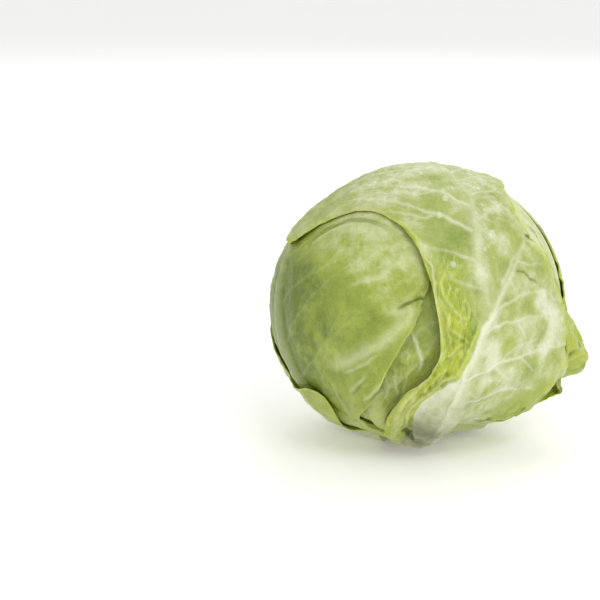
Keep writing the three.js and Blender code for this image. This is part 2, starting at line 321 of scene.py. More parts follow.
OUTER_RIB = (
    (11, 9.4, 7.2), (28, 9, 7), (45, 7.6, 5.4), (62, 6.2, 3.8), (80, 5, 2.4),
    (105, 4, 1.4), (140, 2.6, 0.8), (235, 1.4, 0.3),
)
INNER_RIB = ((11, 8.4, 4.2), (35, 7, 3.8), (60, 4.4, 2.6), (90, 2.8, 1.4), (130, 1.8, 0.7), (170, 1, 0.3))
SHORT_RIB = ((11, 8, 4.4), (40, 6.4, 3.6), (58, 4.4, 2.2), (76, 3, 0.9), (92, 2.6, 0.3), (104, 2.4, 0.2))

# The wrapper leaves, innermost first, and the front leaf's number among them
FRONT_LAYER = 5
PLANS = (
    LeafPlan(
        "leaf_front_inner", spine=-22, base=12.5, tip=108, tip_drop=16, rib=SHORT_RIB,
        left=((12.5, 9), (30, 20), (55, 26), (108, 26)),
        right=((12.5, 9), (24, 20), (40, 36), (60, 42), (108, 44)),
        ridges=((-16, -34, 0, -16, 1.4, 4),), wave=Wave(0.4, 31, 20),
    ),
    LeafPlan(
        "leaf_right_inner", spine=75, base=16, tip=168, tip_drop=26, rib=INNER_RIB,
        left=((16, 9), (30, 24), (60, 38), (120, 42), (168, 36)),
        right=((16, 9), (30, 24), (60, 38), (120, 40), (168, 34)), wave=Wave(0.3, 37, 80),
    ),
    LeafPlan(
        "leaf_back_inner", spine=-145, base=17, tip=138, tip_drop=24, rib=INNER_RIB,
        left=((17, 9), (30, 22), (60, 38), (138, 36)),
        right=((17, 9), (30, 22), (60, 38), (138, 36)), wave=Wave(0.5, 33, 10),
    ),
    LeafPlan(
        "leaf_left", spine=-65, base=12, tip=172, tip_drop=28, rib=OUTER_RIB,
        left=((12, 9), (24, 20), (38, 40), (64, 54), (104, 58), (172, 50)),
        right=(
            (12, 8), (28, 9), (35, 19), (41, 36), (48, 46), (56, 55), (66, 63), (84, 68), (110, 71), (172, 64),
        ),
        curls=(Curl(Side.RIGHT, 0.84, ((36, 0), (44, 3.4), (60, 4.4), (78, 4), (90, 2), (98, 0))),),
        ridges=(
            (-22, -23, 3, -2, 4, 4.2), (-36, -40, -18, -31, 2, 4),
            (-34, 13, -6, 20, 1, 7), (-50, -8, -22, 1, 1, 7),
        ),
        wave=Wave(0.4, 29, 140),
    ),
    LeafPlan(
        "leaf_right_outer", spine=125, base=12, tip=152, tip_drop=24, rib=OUTER_RIB,
        left=((12, 9), (24, 16), (46, 18), (57, 19), (62, 33), (68, 44), (92, 51), (152, 52)),
        right=((12, 9), (24, 20), (40, 42), (70, 48), (110, 46), (152, 40)),
        curls=(Curl(Side.RIGHT, 0.86, ((50, 0), (80, 2), (152, 1.6))),),
        ridges=((98, -29, 95, -20, 13.5, 9.5), (94, -12, 91, 8, 3.4, 8), (122, 0, 100, 24, 1.5, 6)),
        wave=Wave(0.6, 23, 90),
    ),
    LeafPlan(
        "leaf_front", spine=23, base=11.5, tip=232, tip_drop=34, rib=OUTER_RIB,
        sway=((12, 0), (37, -3.5), (58, -3), (72, 0), (86, 3.5), (102, 0.5), (130, 1), (232, 0)),
        left=(
            (11.5, 13), (22, 20.5), (36, 23.4), (50, 21.4), (62, 15), (70, 13), (86, 16), (106, 21),
            (122, 27.5), (136, 38), (145, 52), (161, 68), (190, 70), (232, 64),
        ),
        right=(
            (11.5, 9), (18, 12), (24, 27), (33, 45), (44, 55), (52, 54), (60, 50), (76, 48), (92, 45),
            (104, 37), (116, 27), (126, 24), (152, 27), (200, 45), (232, 50),
        ),
        curls=(
            Curl(Side.LEFT, 0.5, ((40, 0), (54, 2.4), (72, 3), (92, 3), (108, 1.8), (122, 0.6), (134, 0), (232, 0))),
            Curl(Side.RIGHT, 0.9, ((60, 0.4), (112, 1.4), (150, 1.2), (180, 0))),
        ),
        ridges=(
            (8, 3, 18, -8, 1.6, 4.5), (18, -14, 14, -30, 1.5, 4.5), (8, -24, -6, -40, 2.4, 4),
            (-8, -44, -14, -66, 1.6, 4), (25, 2, 27, 42, 1.2, 6), (32, -22, 60, -4, 1.5, 4),
            (31, -35, 60, -22, 1.7, 5), (28, -48, 48, -40, 1.7, 5), (42, 10, 60, 20, 1.4, 5),
        ),
        wave=Wave(0.4, 25, 60),
    ),
    LeafPlan(
        "leaf_left_outer", spine=-115, base=12, tip=94, tip_drop=20, rib=OUTER_RIB,
        left=((12, 9), (24, 20), (40, 38), (70, 42), (94, 36)),
        right=((12, 9), (18, 22), (22, 38), (28, 46), (36, 46), (44, 40), (56, 32), (75, 26), (94, 26)),
        curls=(
            Curl(Side.RIGHT, 0.82, ((18, 0), (28, 1), (45, 1.8), (64, 0.8), (94, 0.8))),
            Curl(Side.LEFT, 0.85, ((40, 0), (60, 1.4), (94, 1.6))),
        ),
        ridges=((-112, -20, -135, 2, 1.4, 6),), wave=Wave(0.7, 27, 30),
    ),
    LeafPlan(
        "leaf_back", spine=177, base=10.6, tip=158, tip_drop=26, rib=OUTER_RIB,
        left=((12, 9), (24, 20), (42, 42), (80, 50), (158, 42)),
        right=((12, 9), (24, 20), (42, 42), (80, 50), (158, 42)),
        curls=(
            Curl(Side.LEFT, 0.85, ((60, 0), (90, 2), (158, 2))),
            Curl(Side.RIGHT, 0.85, ((60, 0), (90, 1.4), (158, 2))),
        ),
        ridges=((182, 10, 150, 36, 1.4, 6), (188, -14, 218, 8, 1.4, 6)), wave=Wave(0.7, 34, 200),
    ),
)


@dataclass(frozen=True)
class HeadForm:
    """The ball under the leaves and how they lie over one another, in mm and degrees."""

    girth_radius: float = 82.6
    pole_radius: float = 78.2
    blade: float = 1.2
    layer_gap: float = 0.8
    hollow: tuple[float, float, float, float] = (180, -80, 12, 26)
    rest_depth: float = 79.4
    rest_cut: float = 1.7
    press_blend: float = 3.0
    drape: tuple[float, float, float] = (2, 13, 7)
    free: tuple[float, float] = (3.5, 10)
    swells: Rows = (
        (-78, 52, -3.6, 24), (88, 60, 1.2, 15), (88, -27, 6.5, 16), (88, -64, -6, 13), (-82, -48, -4, 16),
        (-80, -68, -8.4, 15), (42, -68, -4.6, 16), (-40, -12, 1.6, 30), (30, 20, 1.2, 25),
        (170, 30, 1.5, 35), (-140, 5, -1.5, 28),
    )
    plans: tuple[LeafPlan, ...] = PLANS

    def room(self, plan: LeafPlan, d: np.ndarray) -> np.ndarray:
        """The room a leaf takes under those that cover it.

        Args:
            plan: the leaf.
            d: unit vectors.

        Returns:
            Millimetres at each direction.
        """
        start, end, rib_width = self.drape
        cover = 1.0 - smooth_step(start, end, plan.past_margin(d))
        length, side = leaf_place(plan.spine, d)
        width, height = along(plan.rib, length, 1), along(plan.rib, length, 2)
        off = (side - along(plan.sway, length)) / np.maximum(width, rib_width)
        return cover * (self.blade + height * np.exp(-0.65 * off**2) + self.layer_gap)

    def swollen_ball(self, d: np.ndarray) -> np.ndarray:
        """The radius of the ball with its bumps and dents, at each direction."""
        radius = 1 / np.sqrt((d[:, 0] ** 2 + d[:, 1] ** 2) / self.girth_radius**2 + (d[:, 2] / self.pole_radius) ** 2)
        for azimuth, latitude, rise, spread in self.swells:
            radius += rise * np.exp(-((degrees_between(d, direction(azimuth, latitude)) / spread) ** 2))
        azimuth, latitude, depth, spread = self.hollow
        return radius - depth * np.exp(-((degrees_between(d, direction(azimuth, latitude)) / spread) ** 2))

    def downward(self, d: np.ndarray) -> np.ndarray:
        """How far down each direction points once the head leans."""
        return d[:, 1] * math.sin(LEAN * RAD) - d[:, 2] * math.cos(LEAN * RAD)

    def rest_limit(self, d: np.ndarray) -> np.ndarray:
        """The radius at which each direction meets the plane that the head rests on."""
        down = self.downward(d)
        return np.where(down > 0.01, self.rest_depth / np.maximum(down, 0.01), 1e6)

    def bed_radius(self, layer: int, d: np.ndarray) -> np.ndarray:
        """The radius of the inner face of a leaf, or of the ball for layer 0.

        Args:
            layer: the leaf's number from the innermost.
            d: unit vectors.

        Returns:
            Millimetres at each direction.
        """
        rooms = [self.room(plan, d) for plan in self.plans]
        free, down = self.swollen_ball(d), self.downward(d)
        press = self.rest_depth + self.rest_cut + self.layer_gap
        pressed = smooth_min(free, press / np.maximum(down, 0.5) - sum(rooms), self.press_blend)
        return np.where(down < 0.5, free, pressed) + sum(rooms[:layer], np.zeros(len(d)))

    def freedom(self, layer: int, d: np.ndarray, start: float, end: float) -> np.ndarray:
        """1 where no outer leaf lies on this one, 0 beneath one.

        Args:
            layer: the leaf's number.
            d: unit vectors.
            start: degrees past an outer leaf's margin where it is still 0.
            end: degrees past it where it is 1.

        Returns:
            One share for each direction.
        """
        share = np.ones(len(d))
        for plan in self.plans[layer + 1:]:
            share *= smooth_step(start, end, plan.past_margin(d))
        return share

    def fold_height(self, ridge: Sequence[float], d: np.ndarray) -> np.ndarray:
        """The height of one of the source's straight folds at each direction."""
        a, b = direction(ridge[0], ridge[1]), direction(ridge[2], ridge[3])
        t = np.clip((d - a) @ (b - a) / ((b - a) @ (b - a)), 0, 1)
        nearest = a + t[:, None] * (b - a)
        nearest /= np.linalg.norm(nearest, axis=1, keepdims=True)
        off = np.degrees(np.arccos(np.clip(np.einsum("ij,ij->i", d, nearest), -1, 1)))
        return ridge[4] * np.exp(-((off / ridge[5]) ** 2))

    def lift(self, layer: int, length: np.ndarray, side: np.ndarray, d: np.ndarray) -> np.ndarray:
        """How far a leaf stands off its bed: its curled margins, folds and waves.

        Args:
            layer: the leaf's number.
            length: degrees from the stem.
            side: degrees off the midrib.
            d: the same places as unit vectors.

        Returns:
            Millimetres at each place.
        """
        plan = self.plans[layer]
        share = np.abs(side) / plan.half_width(side, length)
        height = sum((self.fold_height(ridge, d) for ridge in plan.ridges), np.zeros(len(d)))
        for curl in plan.curls:
            on_side = side * curl.side.value > 0
            height += np.where(on_side, along(curl.lift, length) * smooth_step(curl.start, 1.04, share), 0)
        turn = 360 / plan.wave.length * (length + 0.5 * side) + plan.wave.start
        height += plan.wave.size * share**2 * (1 + np.sin(turn * RAD))
        return height * self.freedom(layer, d, *self.free)


FORM = HeadForm()


# ---------- fine detail: paths, veins, folds, blotches ----------


class Trace:
    """A smooth path over the head, with the distance of points from it."""

    def __init__(self, points: np.ndarray, reach: float) -> None:
        """Keeps the path and the cone around it.

        Args:
            points: unit vectors along it, a row each.
            reach: millimetres off it that matter.
        """
        self.points = points
        self.tangents = np.gradient(points, axis=0)
        steps = np.linalg.norm(np.diff(points, axis=0), axis=1)
        self.share = np.concatenate([[0], np.cumsum(steps)]) / max(1e-9, steps.sum())
        middle = points.mean(axis=0)
        self.middle = middle / np.linalg.norm(middle)
        spread = degrees_between(points, self.middle).max()
        self.cone = math.cos(min(175.0, spread + reach / MM_PER_DEGREE + 0.5) * RAD)

    @staticmethod
    def through(places: Sequence[Place], reach: float) -> "Trace":
        """A path through azimuths and latitudes.

        Args:
            places: azimuth and latitude of each point.
            reach: millimetres off it that matter.

        Returns:
            The path.
        """
        corners = direction(*np.array(places, float).T)
        knots = np.arange(len(corners), dtype=float)
        fine = np.linspace(0, knots[-1], int(8 * knots[-1]) + 1)
        curve = np.stack([along(np.stack([knots, corners[:, k]], 1), fine) for k in range(3)], axis=1)
        return Trace(curve / np.linalg.norm(curve, axis=1, keepdims=True), reach)

    def near(self, d: np.ndarray) -> tuple[np.ndarray, np.ndarray, np.ndarray, np.ndarray]:
        """The points near the path.

        Args:
            d: unit vectors.

        Returns:
            Their numbers, distances in mm, share along the path, and side of it: 1 left, -1 right.
        """
        index = np.nonzero(d @ self.middle > self.cone)[0]
        close = d[index]
        dots = close @ self.points.T
        best = dots.argmax(axis=1)
        lower, upper = np.maximum(best - 1, 0), np.minimum(best + 1, len(self.points) - 1)
        a, b = self.points[lower], self.points[upper]
        span = b - a
        t = np.clip(np.einsum("ij,ij->i", close - a, span) / np.maximum(1e-12, (span**2).sum(1)), 0, 1)
        off = close - (a + t[:, None] * span)
        distance = np.linalg.norm(off, axis=1) / RAD * MM_PER_DEGREE
        share = self.share[lower] + t * (self.share[upper] - self.share[lower])
        left = np.cross(close, self.tangents[best])
        return index, distance, share, np.where(np.einsum("ij,ij->i", off, left) > 0, 1, -1)


@dataclass(frozen=True)
class Fold:
    """A path that stands up or sinks in, with its colour: widths left and right of its run in mm; its dark is painted
    shade, along a sunk path and beside a raised one.
    """

    places: tuple[Place, ...]
    height: float
    left: float = 2.0
    right: float = 2.0
    pale: float = 0.0
    yellow: float = 0.0
    dark: float = 0.0
    fade: float = 0.25
    tapers: bool = False


def side_vein(places: tuple[Place, ...], height: float = 0.8, width: float = 1.3, pale: float = 0.8) -> Fold:
    """A vein that leaves a thicker one at full strength and thins out to nothing.

    Args:
        places: azimuths and latitudes along it.
        height: millimetres it stands up.
        width: its half-width in mm.
        pale: how pale it is where it starts.

    Returns:
        The fold.
    """
    return Fold(places, height, 0.8 * width, 1.2 * width, pale, tapers=True)


@dataclass(frozen=True)
class Blot:
    """A soft round patch: azimuth, latitude, radius in degrees, and what it adds; what it adds as dark is painted
    shade.
    """

    azimuth: float
    latitude: float
    radius: float
    pale: float = 0.0
    yellow: float = 0.0
    crumple: float = 0.0
    dark: float = 0.0


@dataclass(frozen=True)
class VeinRule:
    """How side veins leave a midrib, and how they branch."""

    seed: int
    start: float = 24.0
    spacing: tuple[float, float] = (7.5, 12.0)
    angle: tuple[float, float] = (40.0, 62.0)
    height: float = 0.8
    width: float = 1.9
    pale: float = 0.75
    skip: tuple[tuple[Side, float, float], ...] = ()


@dataclass(frozen=True)
class Vein:
    """One grown vein: its directions, its height and width where it starts, and its paleness."""

    points: np.ndarray
    height: float
    width: float
    pale: float


class VeinTree:
    """Grows the side veins of a leaf and their branches."""

    # Degrees walked at a time, the share of a vein that has branches, and how near veins come to the margin
    STEP = 0.8
    BRANCHED = 0.8
    STOP_SHARE = 0.985

    def __init__(self, plan: LeafPlan, rule: VeinRule) -> None:
        """Keeps the leaf and its rule.

        Args:
            plan: the leaf.
            rule: how its veins leave the midrib.
        """
        self.plan = plan
        self.rule = rule
        self.rng = np.random.default_rng(rule.seed)

    def run(self, length: float, side: float, heading: float, turn: float, reach: float) -> np.ndarray:
        """Walks over the leaf until its margin.

        Args:
            length: where it starts, degrees from the stem.
            side: where it starts, degrees off the midrib.
            heading: degrees from straight towards the tip, positive to the right.
            turn: how much the heading changes for each degree walked.
            reach: the most degrees to walk.

        Returns:
            Rows of length and side.
        """
        rows, wobble = [(length, side)], 0.0
        while len(rows) * self.STEP < reach:
            wobble = 0.86 * wobble + self.rng.normal() * 1.5
            length += self.STEP * math.cos((heading + wobble) * RAD)
            side += self.STEP * math.sin((heading + wobble) * RAD)
            heading += turn * self.STEP
            width = float(self.plan.half_width(np.array([side]), np.array([length]))[0])
            share = abs(side) / width
            tip = float(self.plan.tip_length(np.array([share]))[0]) - 1.0
            if share > self.STOP_SHARE or length > tip or length < self.plan.base:
                break
            rows.append((length, side))
        return np.array(rows)

    def grow(self) -> list[Vein]:
        """Grows every vein.

        Returns:
            The side veins and their branches.
        """
        veins: list[Vein] = []
        rule, plan = self.rule, self.plan
        for half in Side:
            length = rule.start + (0 if half is Side.LEFT else 0.5 * rule.spacing[0])
            while length < plan.tip - 12:
                t = (length - plan.base) / (plan.tip - plan.base)
                spacing = rule.spacing[0] + (rule.spacing[1] - rule.spacing[0]) * math.sin(math.pi * min(1, 1.2 * t))
                skipped = any(half is side and low <= length <= high for side, low, high in rule.skip)
                if not skipped:
                    self.branch_out(veins, half, length, t)
                length += spacing * self.rng.uniform(0.8, 1.2)
        return veins

    def branch_out(self, veins: list[Vein], half: Side, length: float, t: float) -> None:
        """Adds one side vein with its branches.

        Args:
            veins: the list it goes into.
            half: which half of the leaf.
            length: where it leaves the midrib.
            t: share of the leaf's length there.
        """
        rule, sign = self.rule, half.value
        angle = rule.angle[0] + (rule.angle[1] - rule.angle[0]) * math.sin(math.pi * min(1.0, t + 0.1))
        middle = float(along(self.plan.sway, np.array([length]))[0])
        strength = max(0.35, 1.0 - 0.75 * t)
        height, pale = rule.height * strength, 0.5 + 0.5 * strength
        main = self.run(length, middle, sign * (angle + self.rng.normal() * 4), -sign * self.rng.uniform(0.1, 0.5), 70)
        self.add(veins, main, height, rule.width * (0.55 + 0.45 * strength), rule.pale * pale)
        walked, way = self.rng.uniform(4, 7), 1
        while walked < self.BRANCHED * len(main) * self.STEP:
            at = int(walked / self.STEP)
            back = main[max(0, at - 2)]
            heading = math.degrees(math.atan2(main[at][1] - back[1], main[at][0] - back[0]))
            turned = heading + sign * way * self.rng.uniform(35, 60)
            twig = self.run(*main[at], turned, -sign * way * self.rng.uniform(0, 2.0), self.rng.uniform(6, 13))
            self.add(veins, twig, height * 0.45, rule.width * 0.55, rule.pale * 0.5 * pale)
            if len(twig) > 6:
                fork = twig[len(twig) // 2]
                small = self.run(*fork, turned - sign * way * 55, 0.0, self.rng.uniform(4, 7))
                self.add(veins, small, height * 0.28, rule.width * 0.42, rule.pale * 0.35)
            walked += self.rng.uniform(2.6, 4.6)
            way = -way

    def add(self, veins: list[Vein], rows: np.ndarray, height: float, width: float, pale: float) -> None:
        """Adds a vein if it has any length."""
        if len(rows) > 3:
            veins.append(Vein(leaf_direction(self.plan.spine, rows[:, 0], rows[:, 1]), height, width, pale))


@dataclass
class Surface:
    """The numbers of a leaf's surface while it is shaped: one value for each point."""

    d: np.ndarray
    length: np.ndarray
    side: np.ndarray
    share: np.ndarray
    open: np.ndarray
    bent: np.ndarray = field(init=False)
    flex: np.ndarray = field(init=False)
    relief: np.ndarray = field(init=False)
    vein: np.ndarray = field(init=False)
    pale: np.ndarray = field(init=False)
    yellow: np.ndarray = field(init=False)
    # Painted shade: how far each point's colour goes towards the leaf's shade colour
    dark: np.ndarray = field(init=False)
    crumple: np.ndarray = field(init=False)

    def __post_init__(self) -> None:
        """Starts every value at nothing, and lets the directions that details are read at wander a little."""
        for name in ("flex", "relief", "vein", "pale", "yellow", "dark", "crumple"):
            setattr(self, name, np.zeros(len(self.d)))
        self.bent = self.d.copy()
        for axis in range(3):
            coarse = Noise(Grain.WANDER + axis).at(self.d * 11.0)
            fine = Noise(Grain.FINE_WANDER + axis).at(self.d * 31.0)
            self.bent[:, axis] += 0.011 * coarse + 0.004 * fine
        self.bent /= np.linalg.norm(self.bent, axis=1, keepdims=True)

    def press_veins(self, veins: Iterable[Vein]) -> None:
        """Raises veins on the outer face and pales them.

        Args:
            veins: the grown veins.
        """
        green = np.ones(len(self.d))
        for vein in veins:
            index, distance, share, _ = Trace(vein.points, 4.0 * vein.width).near(self.bent)
            taper = np.clip(1.0 - share, 0, 1) ** 0.55 * (0.4 + 0.6 * smooth_step(0.0, 0.06, share))
            width = vein.width * (0.5 + 0.5 * taper)
            near = np.exp(-((distance / width) ** 2)) * taper
            wide = np.exp(-((distance / (2.6 * width)) ** 2)) * taper
            self.relief[index] = np.maximum(self.relief[index], vein.height * near)
            self.vein[index] = np.maximum(self.vein[index], vein.pale * near)
            green[index] = np.minimum(green[index], 1.0 - 0.85 * vein.pale * wide)
        self.pale -= 0.16 * (green - 0.6)

    def press_folds(self, folds: Iterable[Fold]) -> None:
        """Raises or sinks the leaf along its own folds.

        Args:
            folds: the folds.
        """
        for fold in folds:
            reach = 3.0 * max(fold.left, fold.right, 1.5)
            index, distance, share, side = Trace.through(fold.places, reach).near(self.bent)
            ends = smooth_step(0, fold.fade, share) * smooth_step(0, fold.fade, 1 - share)
            if fold.tapers:
                ends = smooth_step(0, 0.04, share) * np.clip(1 - share, 0, 1) ** 0.7
            width = np.where(side > 0, fold.left, fold.right) * (0.45 + 0.55 * ends if fold.tapers else 1.0)
            near = np.exp(-((distance / width) ** 2)) * ends
            self.flex[index] += fold.height * near
            self.vein[index] = np.maximum(self.vein[index], fold.pale * near)
            self.yellow[index] += fold.yellow * near
            # Painted shade beside a raised fold, on its right, as if cast by it, and along a sunk fold
            foot = np.exp(-(((distance - 1.1 * fold.right) / max(0.7, 0.6 * fold.right)) ** 2)) * ends
            self.dark[index] = np.maximum(self.dark[index], fold.dark * np.where(side < 0, foot, 0.0))
            if fold.height < 0:
                self.dark[index] = np.maximum(self.dark[index], fold.dark * near)

    def blot(self, blots: Iterable[Blot]) -> None:
        """Adds soft patches of colour and of crumpling.

        Args:
            blots: the patches.
        """
        ragged = 1.0 + 0.3 * Noise(Grain.RAGGED).layers(self.d * 17.0, 3, 0.5)
        for spot in blots:
            away = degrees_between(self.d, direction(spot.azimuth, spot.latitude)) * ragged
            near = np.exp(-((away / spot.radius) ** 2))
            self.pale += spot.pale * near
            self.yellow += spot.yellow * near
            self.crumple = np.maximum(self.crumple, spot.crumple * near)
            self.dark = np.maximum(self.dark, spot.dark * near)


# ---------- materials ----------


@dataclass(frozen=True)
class LeafFinish:
    """A leaf's colours, from deep green to pale, with its veins and margin, and the painted shade of its creases,
    notches and gaps.
    """

    name: str
    deep: Colour
    green: Colour
    pale: Colour
    rib: Colour = (0.66, 0.69, 0.42)
    yellow: Colour = (0.44, 0.50, 0.075)
    # The colour of painted shade in creases, notches, gaps and under margins
    painted_shade: Colour = (0.10, 0.14, 0.015)
    roughness: float = 0.42
    sheen: float = 0.06

    def build(self) -> bpy.types.Material:
        """Makes the node material.

        Returns:
            The material, which reads the piece's own attributes and Object coordinates.
        """
        material, nodes, shader = new_material(self.name)
        place = nodes.add("ShaderNodeTexCoord").outputs["Object"]
        mottle = nodes.noise(place, 120.0, 4.0, 0.62)
        fine = nodes.noise(place, 620.0, 3.0, 0.6)
        net = nodes.net(place, 260.0)
        tone = nodes.math("ADD", nodes.attribute("pale"), nodes.math("MULTIPLY", nodes.centred(mottle), 0.38))
        tone = nodes.math("ADD", tone, nodes.math("MULTIPLY", nodes.centred(fine), 0.12))
        tone = nodes.math("SUBTRACT", tone, nodes.math("MULTIPLY", net, 0.07))
        colour = nodes.ramp(tone, ((0.0, self.deep), (0.5, self.green), (1.0, self.pale)))
        colour = nodes.mix(nodes.attribute("yellow"), colour, self.yellow)
        speckle = nodes.math("ADD", 0.82, nodes.math("MULTIPLY", fine, 0.3))
        colour = nodes.mix(nodes.math("MULTIPLY", nodes.attribute("vein"), speckle), colour, self.rib)
        grain = nodes.math("ADD", nodes.math("MULTIPLY", fine, 0.5), nodes.math("MULTIPLY", net, -0.5))
        grain = nodes.math("ADD", grain, nodes.math("MULTIPLY", mottle, 1.6))
        # The dark attribute mixes the painted shade colour into the base colour
        nodes.settle(shader, {
            "Base Color": nodes.mix(nodes.attribute("dark"), colour, self.painted_shade),
            "Roughness": nodes.math("ADD", self.roughness - 0.09, nodes.math("MULTIPLY", mottle, 0.18)),
            "Subsurface Weight": 0.22,
            "Subsurface Radius": (0.7, 1.0, 0.25),
            "Subsurface Scale": 0.0028,
            "Specular IOR Level": 0.42,
            "Coat Weight": self.sheen,
            "Coat Roughness": 0.28,
            "Normal": nodes.bump(grain, 0.4, 0.0007),
        })
        return material


class NodeMaker:
    """Adds the shader nodes that the finishes share."""

    def __init__(self, tree: bpy.types.NodeTree) -> None:
        """Keeps the tree.

        Args:
            tree: the material's node tree.
        """
        self.tree = tree

    def add(self, kind: str) -> bpy.types.Node:
        """Adds one node of a kind."""
        return self.tree.nodes.new(kind)

    def feed(self, value: object, socket: bpy.types.NodeSocket) -> None:
        """Links an output to a socket, or sets a plain value on it."""
        if isinstance(value, bpy.types.NodeSocket):
            self.tree.links.new(value, socket)
        elif isinstance(value, tuple):
            socket.default_value = (*value, 1.0) if len(value) == 3 and socket.type == "RGBA" else value
        else:
            socket.default_value = value

    def settle(self, node: bpy.types.Node, values: Mapping[str, object]) -> None:
        """Feeds each named socket of a node."""
        for name, value in values.items():
            self.feed(value, node.inputs[name])

    def math(self, operation: str, a: object, b: object) -> bpy.types.NodeSocket:
        """A math node over two values."""
        node = self.add("ShaderNodeMath")
        node.operation = operation
        self.feed(a, node.inputs[0])
        self.feed(b, node.inputs[1])
        return node.outputs[0]

    def centred(self, value: bpy.types.NodeSocket) -> bpy.types.NodeSocket:
        """A value of 0 to 1 moved to -0.5 to 0.5."""
        return self.math("SUBTRACT", value, 0.5)

    def attribute(self, name: str) -> bpy.types.NodeSocket:
        """A number stored on the piece's points."""
        node = self.add("ShaderNodeAttribute")
        node.attribute_type = "GEOMETRY"
        node.attribute_name = name
        return node.outputs["Fac"]

    def noise(
        self, place: bpy.types.NodeSocket, scale: float, detail: float, roughness: float,
    ) -> bpy.types.NodeSocket:
        """Cloudy noise from 0 to 1.

        Args:
            place: the coordinates.
            scale: turns a metre.
            detail: how many sizes.
            roughness: how strong the small ones are.

        Returns:
            Its value.
        """
        node = self.add("ShaderNodeTexNoise")
        self.settle(node, {"Vector": place, "Scale": scale, "Detail": detail, "Roughness": roughness})
        return node.outputs["Fac"]

    def net(self, place: bpy.types.NodeSocket, scale: float) -> bpy.types.NodeSocket:
        """A fine net of veins: 0 on its threads, 1 between them.

        Args:
            place: the coordinates.
            scale: meshes a metre.

        Returns:
            Its value.
        """
        node = self.add("ShaderNodeTexVoronoi")
        node.feature = "DISTANCE_TO_EDGE"
        self.settle(node, {"Vector": place, "Scale": scale})
        spread = self.add("ShaderNodeMapRange")
        spread.interpolation_type = "SMOOTHSTEP"
        self.settle(spread, {"Value": node.outputs["Distance"], "From Max": 0.14})
        return spread.outputs["Result"]

    def ramp(self, value: bpy.types.NodeSocket, stops: Sequence[tuple[float, Colour]]) -> bpy.types.NodeSocket:
        """Colours along a value."""
        node = self.add("ShaderNodeValToRGB")
        elements = node.color_ramp.elements
        while len(elements) < len(stops):
            elements.new(0.5)
        for element, (position, colour) in zip(elements, stops):
            element.position = position
            element.color = (*colour, 1.0)
        self.feed(value, node.inputs["Fac"])
        return node.outputs["Color"]

    def mix(self, factor: object, a: object, b: object) -> bpy.types.NodeSocket:
        """Mixes two colours."""
        node = self.add("ShaderNodeMix")
        node.data_type = "RGBA"
        node.clamp_factor = True
        self.feed(factor, node.inputs[0])
        self.feed(a, node.inputs[6])
        self.feed(b, node.inputs[7])
        return node.outputs[2]

    def bump(self, height: bpy.types.NodeSocket, strength: float, distance: float) -> bpy.types.NodeSocket:
        """A bumped normal."""
        node = self.add("ShaderNodeBump")
        self.settle(node, {"Strength": strength, "Distance": distance, "Height": height})
        return node.outputs["Normal"]


def new_material(name: str) -> tuple[bpy.types.Material, NodeMaker, bpy.types.Node]:
    """A new material with its shader.

    Args:
        name: its name.

    Returns:
        The material, a maker for its nodes, and its Principled shader.
    """
    material = bpy.data.materials.new(name)
    material.use_nodes = True
    return material, NodeMaker(material.node_tree), material.node_tree.nodes["Principled BSDF"]


@dataclass(frozen=True)
class StemFinish:
    """The cut flesh of the stem: pale, with darker rings and dried edges."""

    name: str = "cut stem flesh"
    flesh: Colour = (0.62, 0.60, 0.36)
    ring: Colour = (0.42, 0.40, 0.17)
    dried: Colour = (0.30, 0.22, 0.09)

    def build(self) -> bpy.types.Material:
        """Makes the node material.

        Returns:
            The material.
        """
        material, nodes, shader = new_material(self.name)
        place = nodes.add("ShaderNodeTexCoord").outputs["Object"]
        cloud = nodes.noise(place, 180.0, 5.0, 0.6)
        fibre = nodes.noise(place, 900.0, 3.0, 0.7)
        colour = nodes.ramp(cloud, ((0.3, self.ring), (0.6, self.flesh), (1.0, self.flesh)))
        colour = nodes.mix(nodes.math("MULTIPLY", nodes.attribute("dark"), 0.8), colour, self.dried)
        nodes.settle(shader, {
            "Base Color": colour,
            "Roughness": 0.62,
            "Subsurface Weight": 0.15,
            "Subsurface Scale": 0.002,
            "Normal": nodes.bump(fibre, 0.5, 0.0008),
        })
        return material


@dataclass(frozen=True)
class WaterFinish:
    """Clear water."""

    name: str = "clear water drops"

    def build(self) -> bpy.types.Material:
        """Makes the node material.

        Returns:
            The material.
        """
        material, nodes, shader = new_material(self.name)
        place = nodes.add("ShaderNodeTexCoord").outputs["Object"]
        ripple = nodes.noise(place, 300.0, 2.0, 0.5)
        nodes.settle(shader, {
            "Base Color": (0.86, 0.92, 0.70),
            "Roughness": 0.05,
            "IOR": 1.45,
            "Alpha": 0.38,
            "Coat Weight": 1.0,
            "Coat Roughness": 0.03,
            "Normal": nodes.bump(ripple, 0.05, 0.0004),
        })
        return material


# ---------- meshes ----------


def to_row(d: np.ndarray, radius: np.ndarray) -> np.ndarray:
    """Points of the head in the row frame, in metres.

    Args:
        d: unit vectors before the head leans.
        radius: millimetres from its middle.

    Returns:
        One point a row.
    """
    p = d * radius[:, None]
    s, c = math.sin(LEAN * RAD), math.cos(LEAN * RAD)
    leant = np.stack([p[:, 0], p[:, 1] * c + p[:, 2] * s, -p[:, 1] * s + p[:, 2] * c], axis=1)
    return (leant + HEAD_CENTRE) * MM


def split(quads: np.ndarray) -> np.ndarray:
    """Cuts each four-sided face into two triangles.

    Args:
        quads: point numbers, the last axis going round a face.

    Returns:
        Rows of three point numbers: first each face's one half, then each face's other half.
    """
    flat = quads.reshape(-1, 4)
    return np.concatenate([flat[:, [0, 1, 2]], flat[:, [0, 2, 3]]])


